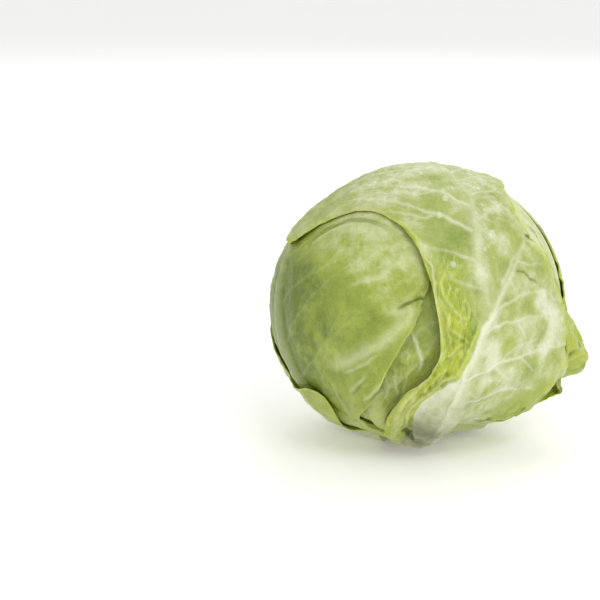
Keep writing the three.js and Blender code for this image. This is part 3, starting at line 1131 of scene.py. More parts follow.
def new_mesh(name: str, points: np.ndarray, faces: np.ndarray, flat_from: Optional[int] = None) -> bpy.types.Object:
    """A mesh object of four-sided or three-sided faces.

    Args:
        name: the piece's name.
        points: positions in metres.
        faces: rows of point numbers, all of one length.
        flat_from: the first face that is shaded flat; none if left out.

    Returns:
        The object, linked to the scene.
    """
    mesh = bpy.data.meshes.new(name)
    count, sides = faces.shape
    mesh.vertices.add(len(points))
    mesh.vertices.foreach_set("co", points.astype(np.float32).ravel())
    mesh.loops.add(count * sides)
    mesh.loops.foreach_set("vertex_index", faces.astype(np.int32).ravel())
    mesh.polygons.add(count)
    mesh.polygons.foreach_set("loop_start", np.arange(count, dtype=np.int32) * sides)
    smooth = np.ones(count, dtype=bool)
    if flat_from is not None:
        smooth[flat_from:] = False
    mesh.update(calc_edges=True)
    mesh.polygons.foreach_set("use_smooth", smooth)
    mesh.validate()
    obj = bpy.data.objects.new(name, mesh)
    bpy.context.scene.collection.objects.link(obj)
    return obj


def store(obj: bpy.types.Object, name: str, values: np.ndarray) -> None:
    """Stores a number for each point of a piece.

    Args:
        obj: the piece.
        name: the attribute's name.
        values: one number a point.
    """
    layer = obj.data.attributes.new(name, "FLOAT", "POINT")
    layer.data.foreach_set("value", values.astype(np.float32))


def finish_piece(obj: bpy.types.Object, material: bpy.types.Material, slot: str, *nodes: str) -> None:
    """Dresses a piece, puts it on the body and hides the solids that it replaces.

    Args:
        obj: the piece.
        material: its finish.
        slot: not used.
        nodes: the solids that it replaces.
    """
    obj.data.materials.clear()
    obj.data.materials.append(material)
    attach(obj, ROOT)
    if nodes:
        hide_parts(*nodes)
    log.info("%s: %d faces", obj.name, len(obj.data.polygons))


@dataclass
class LeafBuilder:
    """Builds one wrapper leaf finely from the head's form and its own details."""

    layer: int
    slot: str
    finish: LeafFinish
    rows: int
    columns: int
    veins: VeinRule
    folds: tuple[Fold, ...] = ()
    blots: tuple[Blot, ...] = ()
    pale: float = 0.5
    mottle: float = 0.22
    puff: float = 0.5
    skin: float = 0.7
    ruffle: float = 0.5
    margin_yellow: float = 0.6
    rib_pale: float = 0.9
    rib_reach: tuple[float, float] = (60, 190)
    rounding: float = 0.3
    wander: float = 0.022
    # How much of the blade is thinned away at its margin and over how many mm, in mm the least blade and the
    # deepest that a fold presses into the leaf beneath
    thinning: float = 0.62
    thin_band: float = 7.0
    least_blade: float = 0.35
    sink: float = 0.45
    form: HeadForm = FORM

    def grid(self, rows: int, columns: int) -> Surface:
        """The leaf's points, row by row from the stem.

        Args:
            rows: cells along it.
            columns: cells across it.

        Returns:
            The surface with nothing shaped yet.
        """
        plan = self.form.plans[self.layer]
        i, j = np.meshgrid(np.arange(rows + 1), np.arange(columns + 1), indexing="ij")
        share = (2.0 * j / columns - 1.0).ravel()
        reach = (i / rows).ravel()
        noise = Noise(Grain.OUTLINE + self.layer)
        around = np.stack([reach * (plan.tip - plan.base) * 0.11, np.sign(share) * 9.0, np.zeros(len(share))], axis=1)
        wobble = noise.layers(around, 3, 0.5)
        length = plan.base + (plan.tip_length(share) - plan.base) * reach**1.02
        width = plan.half_width(share, length) * (1 + self.wander * wobble * smooth_step(0.08, 0.2, reach))
        side = share * width * (1 - self.rounding * reach**8)
        ends = noise.layers(np.stack([share * 5.0, np.full(len(share), 40.0), reach * 0], axis=1), 3, 0.5)
        length = length + 70 * self.wander * ends * smooth_step(0.85, 1.0, reach)
        d = leaf_direction(plan.spine, length, side)
        return Surface(d, length, side, np.abs(share), self.form.freedom(self.layer, d, 0.3, 4.0))

    def shape(self, surface: Surface) -> tuple[np.ndarray, np.ndarray]:
        """Works out the leaf's two faces and its colours.

        Args:
            surface: its points.

        Returns:
            The radius of the inner and of the outer face in mm.
        """
        form, plan, s = self.form, self.form.plans[self.layer], surface
        s.press_veins(VeinTree(plan, self.veins).grow())
        s.press_folds(self.folds)
        s.blot(self.blots)
        to_margin = (1.0 - s.share) * plan.half_width(s.side, s.length) * MM_PER_DEGREE
        to_tip = (plan.tip_length(s.share) - s.length) * MM_PER_DEGREE
        edge = np.minimum(to_margin, to_tip)
        self.crinkle(s, edge)
        width, height = along(plan.rib, s.length, 1), along(plan.rib, s.length, 2)
        off = np.clip(np.abs(s.side - along(plan.sway, s.length)) / width, 0, 1)
        thin = 1.0 - self.thinning * (1.0 - smooth_step(0.0, self.thin_band, edge))
        thick = form.blade * thin + height * (1.0 - off * off) ** 1.1
        bed = form.bed_radius(self.layer, s.d)
        free = s.open * smooth_step(0.0, 1.0, bed)
        headroom = np.maximum(0.0, form.rest_limit(s.d) - bed - thick)
        stand = form.lift(self.layer, s.length, s.side, s.d) + s.flex * free
        inner = bed + np.minimum(np.maximum(stand, -self.sink), headroom)
        outer = np.minimum(inner + thick + s.relief * (0.25 + 0.75 * free), form.rest_limit(s.d))
        inner = np.minimum(inner, outer - self.least_blade)
        self.colour(s, edge, off)
        return inner, outer

    def crinkle(self, s: Surface, edge: np.ndarray) -> None:
        """Adds the puffed fields between veins, the crumples and the ruffled margin.

        Args:
            s: the surface.
            edge: millimetres from the margin.
        """
        # Veins stay smooth, and soft puffs lie between them
        s.crumple *= 1.0 - np.clip(1.3 * s.vein - 0.2, 0, 1)
        soft = Noise(Grain.PUFF + self.layer).layers(s.d * 9.0, 3, 0.5)
        s.flex += self.puff * soft
        # Crumples: sharp ridges that run along the leaf, yellow on their crests, with painted shade between them
        warp = np.stack([s.length * 0.12, s.side * 0.27, np.full(len(s.d), 3.0 * self.layer)], axis=1)
        bend = Noise(Grain.BEND + self.layer).layers(warp * 0.6, 2)
        deep = 1.0 - 2.2 * np.abs(Noise(Grain.CRUMPLE + self.layer).at(warp + 0.55 * bend[:, None]))
        fine = 1.0 - 2.2 * np.abs(Noise(Grain.FINE_CRUMPLE + self.layer).at(warp * 2.3 - 0.4 * bend[:, None]))
        sharp = np.clip(0.75 * deep + 0.5 * fine, -1.0, 1.0)
        s.flex += 2.1 * s.crumple * (sharp + 0.3)
        crest = np.clip(sharp, 0, 1) ** 2
        s.yellow += s.crumple * (0.30 * crest + 0.12)
        s.pale += s.crumple * (0.45 * crest - 0.45)
        s.vein = np.maximum(s.vein, 0.30 * s.crumple * np.clip(sharp, 0, 1) ** 6)
        s.dark = np.maximum(s.dark, 0.45 * s.crumple * np.clip(-sharp - 0.2, 0, 1))
        # The skin's small pits and blisters
        pits = Noise(Grain.PITS + self.layer).layers(s.d * 27.0, 2, 0.6)
        blisters = Noise(Grain.BLISTERS + self.layer).layers(s.d * 13.0, 2, 0.5)
        s.flex += self.skin * (0.3 * pits + 0.45 * blisters)
        s.pale += 0.05 * pits + 0.04 * blisters
        # The ruffled margin
        run = np.stack([s.length * 0.22, np.sign(s.side) * 5.0, s.side * 0.04], axis=1)
        turns = Noise(Grain.RUFFLE + self.layer).layers(run, 2, 0.5)
        s.flex += self.ruffle * (1.0 - smooth_step(0.0, 9.0, edge)) * (0.5 + turns)

    def colour(self, s: Surface, edge: np.ndarray, off: np.ndarray) -> None:
        """Settles the colour attributes.

        Args:
            s: the surface.
            edge: millimetres from the margin.
            off: share of the rib's half-width from its middle.
        """
        plan = self.form.plans[self.layer]
        rib = (1.0 - off**2) ** 0.8 * (1.0 - smooth_step(*self.rib_reach, s.length) * 0.8)
        s.vein = np.maximum(s.vein, self.rib_pale * rib * (1 - np.clip(1.3 * s.crumple, 0, 1)))
        base = 1.0 - smooth_step(plan.base, plan.base + 34, s.length)
        s.pale += self.pale + self.mottle * Noise(Grain.TONE + self.layer).layers(s.d * 6.0, 3, 0.55) + 0.25 * base
        narrow, broad = 1.0 - smooth_step(0.0, 2.6, edge), 1.0 - smooth_step(1.0, 12.0, edge)
        s.yellow += self.margin_yellow * narrow + 0.25 * self.margin_yellow * broad

    def build(self, detail: float) -> bpy.types.Object:
        """Builds the leaf as a closed blade: a fine outer face, and an inner face of half as many cells.

        Args:
            detail: share of the full number of cells.

        Returns:
            The finished piece.
        """
        plan = self.form.plans[self.layer]
        rows, columns = 2 * round(self.rows * detail / 2), 2 * round(self.columns * detail / 2)
        surface = self.grid(rows, columns)
        inner, outer = self.shape(surface)
        across = columns + 1
        numbers = np.arange((rows + 1) * across).reshape(rows + 1, across)
        coarse = numbers[::2, ::2]
        under = np.full(numbers.shape, -1)
        under[::2, ::2] = np.arange(coarse.size).reshape(coarse.shape) + numbers.size
        points = np.concatenate([to_row(surface.d, outer), to_row(surface.d[coarse.ravel()], inner[coarse.ravel()])])
        low = under[::2, ::2]
        top = np.stack([numbers[:-1, :-1], numbers[:-1, 1:], numbers[1:, 1:], numbers[1:, :-1]], -1)
        bottom = np.stack([low[:-1, :-1], low[1:, :-1], low[1:, 1:], low[:-1, 1:]], -1)
        loop, down = (
            np.concatenate([table[0, :-1], table[:-1, -1], table[-1, :0:-1], table[:0:-1, 0]])
            for table in (numbers, under)
        )
        rim = []
        for k in range(0, len(loop), 2):
            a, m, b = loop[k], loop[k + 1], loop[(k + 2) % len(loop)]
            p, q = down[k], down[(k + 2) % len(loop)]
            rim += [(p, m, a), (p, q, m), (q, b, m)]
        faces = np.concatenate([split(top), split(bottom), np.array(rim)])
        obj = new_mesh(f"{plan.name}_blade", points, faces, len(faces) - len(rim))
        for name in ("pale", "yellow", "vein", "dark"):
            values = getattr(surface, name)
            store(obj, name, np.clip(np.concatenate([values, values[coarse.ravel()]]), 0.0, 1.0))
        finish_piece(obj, self.finish.build(), self.slot, plan.name)
        return obj


@dataclass
class InnerHead:
    """The dense heart under the wrapper leaves, with the edges of its own leaves."""

    rings: int = 110
    sectors: int = 180
    clearance: float = 1.2
    step: float = 1.3
    edges: Rows = ((-100, 150, 46), (60, 140, 44), (165, 128, 42))
    lowest: float = -79.0

    def build(self) -> bpy.types.Object:
        """Builds the ball as one closed skin.

        Returns:
            The finished piece.
        """
        lat = np.linspace(90, self.lowest, self.rings + 1)[1:]
        az = np.arange(self.sectors) * 360.0 / self.sectors
        grid_lat, grid_az = np.meshgrid(lat, az, indexing="ij")
        poles = direction(0, 90)[None], direction(0, -90)[None]
        d = np.concatenate([poles[0], direction(grid_az.ravel(), grid_lat.ravel()), poles[1]])
        on = np.zeros(len(d))
        for spine, tip, width in self.edges:
            length, side = leaf_place(spine, d)
            on = np.maximum(on, smooth_step(0, 1.5, tip - length) * smooth_step(0, 1.5, width - np.abs(side)))
        radius = FORM.bed_radius(0, d) - self.clearance - self.step * (1 - on)
        radius += 0.3 * Noise(Grain.HEART_FORM).layers(d * 9, 3) - 0.3
        radius[-1] = radius[-1 - self.sectors:-1].mean() - 4.0
        points = to_row(d, radius)
        n = self.sectors
        ring = 1 + np.arange(self.rings * n).reshape(self.rings, n)
        turned = np.roll(ring, -1, axis=1)
        quads = np.stack([ring[:-1], ring[1:], turned[1:], turned[:-1]], -1)
        top = np.stack([np.zeros(n, int), ring[0], turned[0]], -1)
        bottom = np.stack([np.full(n, len(d) - 1), turned[-1], ring[-1]], -1)
        faces = np.concatenate([top, split(quads), bottom])
        obj = new_mesh("inner_head_heart", points, faces)
        tone = 0.6 + 0.25 * Noise(Grain.HEART_TONE).layers(d * 6, 3)
        store(obj, "pale", np.clip(tone, 0, 1))
        for name in ("yellow", "vein", "dark"):
            store(obj, name, np.zeros(len(d)))
        finish = LeafFinish("heart leaves", (0.42, 0.48, 0.16), (0.55, 0.60, 0.27), (0.68, 0.71, 0.42))
        finish_piece(obj, finish.build(), "heart_leaf", "inner_head")
        return obj


@dataclass
class CutStem:
    """The short round stem with its bevelled, slightly rough cut face."""

    radius: float = 12.4
    face_depth: float = 76.6
    socket_depth: float = 57.4
    bevel: float = 1.2
    turns: int = 96

    def build(self) -> bpy.types.Object:
        """Builds the plug as rings from the middle of its cut face to the middle of its top.

        Returns:
            The finished piece.
        """
        face = [(r, self.face_depth) for r in np.linspace(0.6, self.radius - self.bevel, 14)]
        corner = [
            (self.radius - self.bevel * (1 - math.sin(a)), self.face_depth - self.bevel * (1 - math.cos(a)))
            for a in np.linspace(0.3, math.pi / 2, 6)
        ]
        wall = [(self.radius, z) for z in np.linspace(self.face_depth - 2.5, self.socket_depth, 12)]
        lid = [(r, self.socket_depth) for r in np.linspace(self.radius - 1, 1.0, 5)]
        profile = np.array(face + corner + wall + lid)
        az = np.arange(self.turns) * 2 * math.pi / self.turns
        r = np.repeat(profile[:, 0], self.turns)
        z = -np.repeat(profile[:, 1], self.turns)
        turn = np.tile(az, len(profile))
        p = np.stack([r * np.sin(turn), -r * np.cos(turn), z], axis=1)
        rough = Noise(Grain.STEM).layers(p * 0.35, 3)
        on_face = smooth_step(self.face_depth - 1.5, self.face_depth - 0.2, -z)
        p[:, 2] += on_face * (0.35 * rough + 0.25 * np.cos(r * 1.3))
        radial = np.maximum(r, 0.1)
        p[:, :2] *= (1 - 0.02 * (1 - on_face) * (1 + rough))[:, None]
        ends = np.array([[0, 0, -self.face_depth + 0.1], [0, 0, -self.socket_depth]])
        p = np.concatenate([p, ends])
        size = np.linalg.norm(p, axis=1)
        points = to_row(p / size[:, None], size)
        n = self.turns
        ring = np.arange(len(profile) * n).reshape(len(profile), n)
        turned = np.roll(ring, -1, axis=1)
        quads = np.stack([ring[:-1], turned[:-1], turned[1:], ring[1:]], -1)
        first, last = len(p) - 2, len(p) - 1
        start = np.stack([np.full(n, first), turned[0], ring[0]], -1)
        end = np.stack([np.full(n, last), ring[-1], turned[-1]], -1)
        faces = np.concatenate([start, split(quads), end])
        obj = new_mesh("cut_stem_face", points, faces)
        dark = np.exp(-(((radial - self.radius) / 1.6) ** 2)) * 0.8 + 0.3 * np.exp(-(((radial - 6.5) / 0.8) ** 2))
        store(obj, "dark", np.clip(np.concatenate([dark, [0.3, 0.3]]), 0, 1))
        finish_piece(obj, StemFinish().build(), "stem_flesh", "cut_stem")
        return obj


@dataclass
class WaterDrops:
    """Small drops of water that lie on the front leaf."""

    places: tuple[tuple[float, float, float], ...] = (
        (13.3, 38.9, 2.1), (9.7, 31.1, 1.8), (31.3, 34.5, 1.4), (30.4, 23.5, 2.9), (25.7, 16.9, 1.6),
        (13.0, 10.9, 2.0), (31.9, 37.6, 1.3), (19.0, 46.0, 1.4), (36.0, 47.0, 1.5), (2.0, 58.0, 1.6),
        (44.0, 60.0, 1.3), (-28.0, 52.0, 1.8), (60.0, 66.0, 1.4), (-70.0, 66.0, 1.5), (170.0, 72.0, 1.6),
    )
    flatness: float = 0.62

    def build(self, leaf: bpy.types.Object) -> bpy.types.Object:
        """Scatters the drops on the leaf with a node tree and makes them one mesh.

        Args:
            leaf: the piece they lie on.

        Returns:
            The finished piece.
        """
        material = WaterFinish().build()
        carrier = self.seat(leaf)
        modifier = carrier.modifiers.new("drops", "NODES")
        modifier.node_group = self.tree(material)
        items = modifier.node_group.interface.items_tree
        sockets = {s.name: s.identifier for s in items if s.item_type == "SOCKET" and s.in_out == "INPUT"}
        modifier[sockets["Flatness"]] = self.flatness
        graph = bpy.context.evaluated_depsgraph_get()
        mesh = bpy.data.meshes.new_from_object(carrier.evaluated_get(graph))
        bpy.data.objects.remove(carrier)
        obj = bpy.data.objects.new("water_drops", mesh)
        bpy.context.scene.collection.objects.link(obj)
        finish_piece(obj, material, "leaf_pale")
        return obj

    def seat(self, leaf: bpy.types.Object) -> bpy.types.Object:
        """Finds where each drop touches the leaf.

        Args:
            leaf: the piece.

        Returns:
            An object with a point, a size and an up direction for each drop.
        """
        centre = Vector(HEAD_CENTRE * MM)
        points, sizes, ups = [], [], []
        for azimuth, latitude, size in self.places:
            d = Vector(to_row(direction(azimuth, latitude)[None], np.array([100.0]))[0]) - centre
            hit, place, normal, _ = leaf.ray_cast(centre + d * 1.3, -d.normalized())
            if hit:
                points.append(place)
                sizes.append(size * MM)
                ups.append(normal)
        mesh = bpy.data.meshes.new("drop seats")
        mesh.from_pydata([tuple(p) for p in points], [], [])
        obj = bpy.data.objects.new("drop seats", mesh)
        bpy.context.scene.collection.objects.link(obj)
        store(obj, "size", np.array(sizes))
        layer = mesh.attributes.new("up", "FLOAT_VECTOR", "POINT")
        layer.data.foreach_set("vector", np.array([tuple(u) for u in ups], np.float32).ravel())
        return obj

    def tree(self, material: bpy.types.Material) -> bpy.types.NodeTree:
        """The node tree: a flattened ball on each point, turned to its up direction.

        Args:
            material: the water.

        Returns:
            The tree.
        """
        tree = bpy.data.node_groups.new("water drops", "GeometryNodeTree")
        tree.interface.new_socket("Geometry", in_out="INPUT", socket_type="NodeSocketGeometry")
        tree.interface.new_socket("Flatness", in_out="INPUT", socket_type="NodeSocketFloat")
        tree.interface.new_socket("Geometry", in_out="OUTPUT", socket_type="NodeSocketGeometry")
        nodes = tree.nodes
        source, target = nodes.new("NodeGroupInput"), nodes.new("NodeGroupOutput")
        ball = nodes.new("GeometryNodeMeshUVSphere")
        for name, value in (("Segments", 20), ("Rings", 12), ("Radius", 1.0)):
            ball.inputs[name].default_value = value
        smooth = nodes.new("GeometryNodeSetShadeSmooth")
        squash = nodes.new("GeometryNodeTransform")
        scale = nodes.new("ShaderNodeCombineXYZ")
        scale.inputs["X"].default_value = 1.0
        scale.inputs["Y"].default_value = 1.0
        up, size = nodes.new("GeometryNodeInputNamedAttribute"), nodes.new("GeometryNodeInputNamedAttribute")
        for node, kind, name in ((up, "FLOAT_VECTOR", "up"), (size, "FLOAT", "size")):
            node.data_type = kind
            node.inputs["Name"].default_value = name
        turn = nodes.new("FunctionNodeAlignRotationToVector")
        turn.axis = "Z"
        place = nodes.new("GeometryNodeInstanceOnPoints")
        realize = nodes.new("GeometryNodeRealizeInstances")
        dress = nodes.new("GeometryNodeSetMaterial")
        dress.inputs["Material"].default_value = material
        for output, entry in (
            (source.outputs["Flatness"], scale.inputs["Z"]),
            (ball.outputs["Mesh"], smooth.inputs["Geometry"]),
            (smooth.outputs["Geometry"], squash.inputs["Geometry"]),
            (scale.outputs["Vector"], squash.inputs["Scale"]),
            (up.outputs["Attribute"], turn.inputs["Vector"]),
            (source.outputs["Geometry"], place.inputs["Points"]),
            (squash.outputs["Geometry"], place.inputs["Instance"]),
            (turn.outputs["Rotation"], place.inputs["Rotation"]),
            (size.outputs["Attribute"], place.inputs["Scale"]),
            (place.outputs["Instances"], realize.inputs["Geometry"]),
            (realize.outputs["Geometry"], dress.inputs["Geometry"]),
            (dress.outputs["Geometry"], target.inputs["Geometry"]),
        ):
            tree.links.new(output, entry)
        return tree


# ---------- what each leaf has of its own ----------

FRONT_FOLDS = (
    # The midrib's sharp left edge, its fork to the upper right, and its faint branch straight up
    Fold(((13, -70), (15, -57), (15.4, -48), (16.8, -42.9), (18, -36.9), (18.8, -28.8), (20.5, -24.8), (21.5, -21.6),
        (23, -15.6), (24.8, -10.5), (28.4, -5.5), (33.3, -1.1)), 1.1, 0.8, 4.4, 0.95, 0, 0, 0.1),
    Fold(((26, -9), (30, -2.4), (34.9, 6.1), (39.3, 12.9), (45.9, 20.7), (52.8, 28.9)), 0.9, 1.6, 2.8, 0.8,
        tapers=True),
    Fold(((25, -11), (24.5, 2.2), (22.7, 9.3), (22.8, 16.8), (24.2, 27.1), (26, 37.8), (28.2, 49)), 0.5, 3.2, 3.2,
        0.38),
    Fold(((27, -64), (30, -50), (29.5, -38), (30.5, -28), (32, -19)), 0.5, 3.5, 2.4, 0.35),
    # Side veins to the right, from the lowest up
    side_vein(((16, -50), (27, -43.5), (33.7, -40.8), (43.6, -38.8), (54, -39)), 0.7, 1.1, 0.65),
    side_vein(((17, -41), (25.2, -39.8), (34.1, -37.8), (37.5, -35.9), (46.6, -34.4), (63, -33.9), (72, -33)), 1.0,
        1.3, 0.85),
    side_vein(((19, -30), (23.9, -28.4), (29.4, -27), (33.7, -23.8), (43.5, -21.6), (51.6, -18.8), (68.6, -15.3),
        (80, -13)), 1.1, 1.3, 0.9),
    side_vein(((22.5, -14), (31.3, -9.7), (41.2, -7.3), (47.4, -6), (58, -6), (66, -7)), 0.8, 1.1, 0.8),
    side_vein(((41.4, -8.2), (45.1, -13.3), (49.3, -18.1)), 0.4, 0.8, 0.6),
    side_vein(((33, -24.2), (38, -28), (45, -30), (52, -29.5)), 0.5, 0.8, 0.6),
    side_vein(((46, -20.8), (52, -24), (59, -26), (66, -25.5)), 0.5, 0.8, 0.55),
    side_vein(((36, -22.8), (40, -18), (47, -15.5), (54, -13)), 0.4, 0.7, 0.5),
    side_vein(((52, -6), (57, -1), (62, 1), (68, 1)), 0.4, 0.7, 0.5),
    side_vein(((37, -36), (42, -30.5), (49, -28)), 0.4, 0.7, 0.5),
    side_vein(((27.6, -5.5), (36, -1), (46, 2.9), (55.5, 4.1), (64, 4)), 0.6, 1.1, 0.65),
    side_vein(((31.7, 3.4), (35.4, 9.7), (38.9, 15.1), (46.7, 18.7), (56.2, 21)), 0.5, 1.2, 0.6),
    side_vein(((40, 13.8), (45, 13), (51, 13.6), (57, 13)), 0.4, 0.8, 0.5),
    # Side veins to the left, over the top
    side_vein(((23.5, 2.1), (17.8, 3.8), (12.4, 5.5), (8.9, 8.3)), 0.4, 1.1, 0.5),
    side_vein(((22.6, 12.2), (16.6, 14.3), (9.2, 16.4), (3.7, 16.8), (-2, 20)), 0.5, 1.3, 0.6),
    side_vein(((23.5, 22.8), (16.5, 28.1), (6.4, 32.5), (-6.9, 37.1), (-22.2, 39.8), (-36.5, 40.1), (-48, 38)), 0.5,
        1.4, 0.7),
    side_vein(((25, 34.1), (17.1, 40.1), (5.2, 44.6), (-8.4, 48.1), (-26.3, 48.2), (-40.9, 45.3), (-54, 42)), 0.5,
        1.4, 0.65),
    side_vein(((8, 31.8), (2, 30), (-9, 32.5), (-22, 34.2), (-38, 33)), 0.4, 1.0, 0.5),
    side_vein(((10, 43), (-2, 42), (-16, 43.4), (-32, 42.5), (-46, 40.5)), 0.3, 0.9, 0.45),
    # Creases near the right margin, painted dark inside as shade
    Fold(((36.9, 10.5), (41.7, 10), (46.7, 8.1), (52.6, 7.3)), -0.5, 0.45, 0.45, 0, 0.2, 0.6),
    Fold(((36.5, 12.4), (41.5, 11.9), (46.7, 10), (52.6, 9.2)), 0.3, 0.9, 0.9, 0.2, 0.1),
    Fold(((48, 25.2), (52.6, 23.2), (55.4, 20.9), (58.5, 18.7)), -1.4, 0.8, 0.8, 0, 0.3, 0.95),
    Fold(((46, 23), (51, 21.4), (55, 18.6), (60, 14)), 0.9, 1.0, 1.0, 0.4, 0.3),
    # The margin's rolled lip, bright yellow from the top down to the crumples, with painted shadow at its foot
    Fold(((-46, 29), (-40, 31), (-26, 32), (-14, 30), (-5.6, 26.2), (-1.9, 22.9), (0.4, 18.7), (1.1, 14.9),
        (5.3, 10.4)), 1.0, 1.1, 1.3, 0.12, 0.95, 0.3, 0.12),
    Fold(((0.4, 18.7), (1.1, 14.9), (5.3, 10.4), (6, 5.4), (6.3, -0.2), (7.4, -5.1), (8.2, -11.4), (10.7, -17.2)),
        1.0, 0.9, 0.9, 0.4, 0.35, 0.25, 0.12),
    # The broad stalk's left edge, the notch beside its foot, and the crumpled wing and smooth strip on its left; the
    # notch and the feet of the wing's folds carry painted shade
    Fold(((1.5, -74), (0.8, -62.9), (0.7, -56.1), (1.1, -49.2), (3.5, -43.6), (8.0, -38.8), (13.5, -33.2),
        (17.2, -29.7), (20.7, -25)), 1.3, 0.7, 10.5, 0.92, -0.4, 0, 0.1),
    Fold(((-6, -57), (-4.6, -61), (-3.2, -65), (-2, -70)), -2.6, 1.1, 1.3, 0, 0, 1.0, 0.2),
    Fold(((17.5, -27.2), (13.5, -30), (9.5, -33.5), (5, -38), (-0.5, -43.5), (-3.2, -50), (-4.5, -57)), 1.5, 0.9, 1.8,
        0.25, 0.8, 0.4, 0.1),
    Fold(((13.8, -17.5), (9.5, -20.9), (6, -26.4), (2.9, -31.4), (-0.5, -36.9), (-5.4, -41.8), (-9.9, -52.5),
        (-18, -66)), 1.0, 1.2, 2.6, 0.3, 0.6, 0.25, 0.08),
    Fold(((5.3, 9), (9.6, 7.6), (8.1, 3.3), (11.6, -2.9), (15.3, -6.4), (18.5, -9.9)), 0.7, 0.9, 1.2, 0.18, 0.5, 0.25,
        0.3),
    Fold(((7.3, -3), (11.6, -4.3), (16.1, -7.1), (20.5, -6.3)), 0.5, 0.8, 1.0, 0.15, 0.4, 0.2, 0.35),
    Fold(((23.5, -8), (22.5, -11.2), (20.6, -15.6), (19.5, -19.3), (18.5, -23.2), (17.4, -27)), 1.0, 1.1, 1.1, 0.1,
        1.1, 0.35, 0.15),
    Fold(((11, -8.5), (13.4, -12.8), (18.2, -14.9), (21, -18.6)), 0.8, 0.7, 1.1, 0.15, 0.6, 0.3, 0.3),
    Fold(((7.3, -22.5), (10.3, -21.7), (14.7, -18.6), (19, -15.6)), 0.9, 0.9, 1.1, 0.15, 0.6, 0.3, 0.3),
    Fold(((10.7, -37.8), (7.3, -33.2), (9.4, -28), (14.1, -26.4)), 0.9, 0.8, 1.1, 0.15, 0.7, 0.3, 0.25),
    Fold(((8.7, -0.9), (10.5, -7.1), (11.5, -12.1), (13.5, -17.5), (12, -23)), 0.6, 0.8, 1.1, 0.15, 0.45, 0.25, 0.3),
    Fold(((2, -36), (-3, -44), (-9, -54), (-16, -64)), 0.7, 0.9, 1.2, 0.4, 0.3, 0.25, 0.15),
    Fold(((-1, -41), (-6, -50), (-9, -58), (-12, -67)), 0.7, 0.8, 1.2, 0.1, 0.6, 0.3, 0.15),
    # The torn lower right margin, with painted shade along it and in its notches
    Fold(((46, -54.5), (57, -54.5), (66, -52.5), (73, -49), (79, -43.5), (83, -38), (86, -31)), 0.6, 1.0, 2.0, 0.05,
        0.35, 0.8, 0.2),
    Fold(((70, -41), (74, -44), (76, -48), (77, -53)), -1.8, 0.9, 1.1, 0, 0.3, 1.0),
    Fold(((60, -52), (63, -55), (64, -60)), -1.2, 0.8, 1.0, 0, 0.3, 0.8),
    Fold(((80, -33), (81, -37), (83, -42)), -1.2, 0.8, 1.0, 0, 0.4, 0.8),
)
FRONT_BLOTS = (
    Blot(44.3, -1.8, 3.4, -0.42), Blot(35.1, -3.5, 4.2, -0.2), Blot(55.8, -11.2, 3.6, -0.3),
    Blot(54.5, -25.2, 3.6, -0.42), Blot(37.2, -16.5, 3.2, -0.2, 0.25), Blot(46, -14, 2.6, -0.2),
    Blot(63, -22, 3, -0.2, 0.1), Blot(60, -29, 3, -0.25), Blot(71, -36, 5, -0.2, 0.35),
    Blot(76.5, -21, 3.5, 0.0, 0.5), Blot(77, -31, 4, -0.1, 0.8, 0.4), Blot(70, -47, 7, -0.1, 0.25, 0.4),
    Blot(48.9, -48.8, 4, -0.2, 0.1), Blot(38, -49, 4, -0.1), Blot(44, -52, 8, 0.25), Blot(60, -44, 5, -0.25, 0.15),
    Blot(70, -44, 5, -0.25, 0.15), Blot(18.5, 20.6, 4.5, -0.28), Blot(16.3, 26.8, 5, -0.2),
    Blot(42.9, 21.7, 4.4, -0.18, 0.15), Blot(44.4, 33.9, 5, -0.1), Blot(9.3, 18.4, 6, -0.22), Blot(53.8, 0.4, 5, 0.4),
    Blot(29.5, -16, 5, 0.35), Blot(31, -22, 5, 0.25), Blot(25.5, 9.4, 4, 0.05), Blot(27, 23, 6, 0.12),
    Blot(60.2, -16.7, 4, 0.35), Blot(34.9, 21.2, 6, 0.15), Blot(62, -6, 7, 0.3), Blot(1.8, 16.4, 4, 0.2),
    # Blot(50, -14) pales the right half broadly: partly the leaf's paler tissue, partly painted light
    Blot(-15, 50, 20, 0.2), Blot(50, -14, 22, 0.22), Blot(42, -38, 10, 0.12), Blot(54, 30, 11, 0.3),
    # Painted shade over the foot of the stalk, and in the notch beside it on the next line
    Blot(9, -60, 11, 0, 0.3, dark=0.8), Blot(6, -69, 8, dark=0.8), Blot(20, -45, 7, dark=0.22),
    Blot(-2.6, -66, 3.2, dark=1.0), Blot(-1.5, -69, 2.5, dark=1.0), Blot(-18, 27, 6, 0, 0.15),
    Blot(12, 9, 6, -0.15, 0.3, 0.6), Blot(11, 1, 6, -0.25, 0.35, 0.9), Blot(15, -6, 6, -0.3, 0.3, 1.0),
    Blot(16, -13, 6, -0.5, 0.4, 1.0), Blot(13, -21, 6, -0.7, 0.35, 1.0), Blot(8, -27, 5.5, -0.5, 0.35, 1.0),
    Blot(6, -34, 5, -0.2, 0.7, 1.0), Blot(0, -42, 5.5, 0.15, 0.75, 0.7), Blot(-5, -50, 6, 0.2, 0.9, 0.5),
    Blot(-11, -59, 9, 0.15, 1.0, 0.5), Blot(-11, -46, 7, 0.3, 0.5, 0.2), Blot(0, -37, 6, 0.45, 0.5),
    Blot(19, -22, 3, 0.1, 0.9, 0.8), Blot(16, -27, 3, 0.1, 0.9, 0.8), Blot(13, -9, 3, 0, 0.5, 0.8),
)
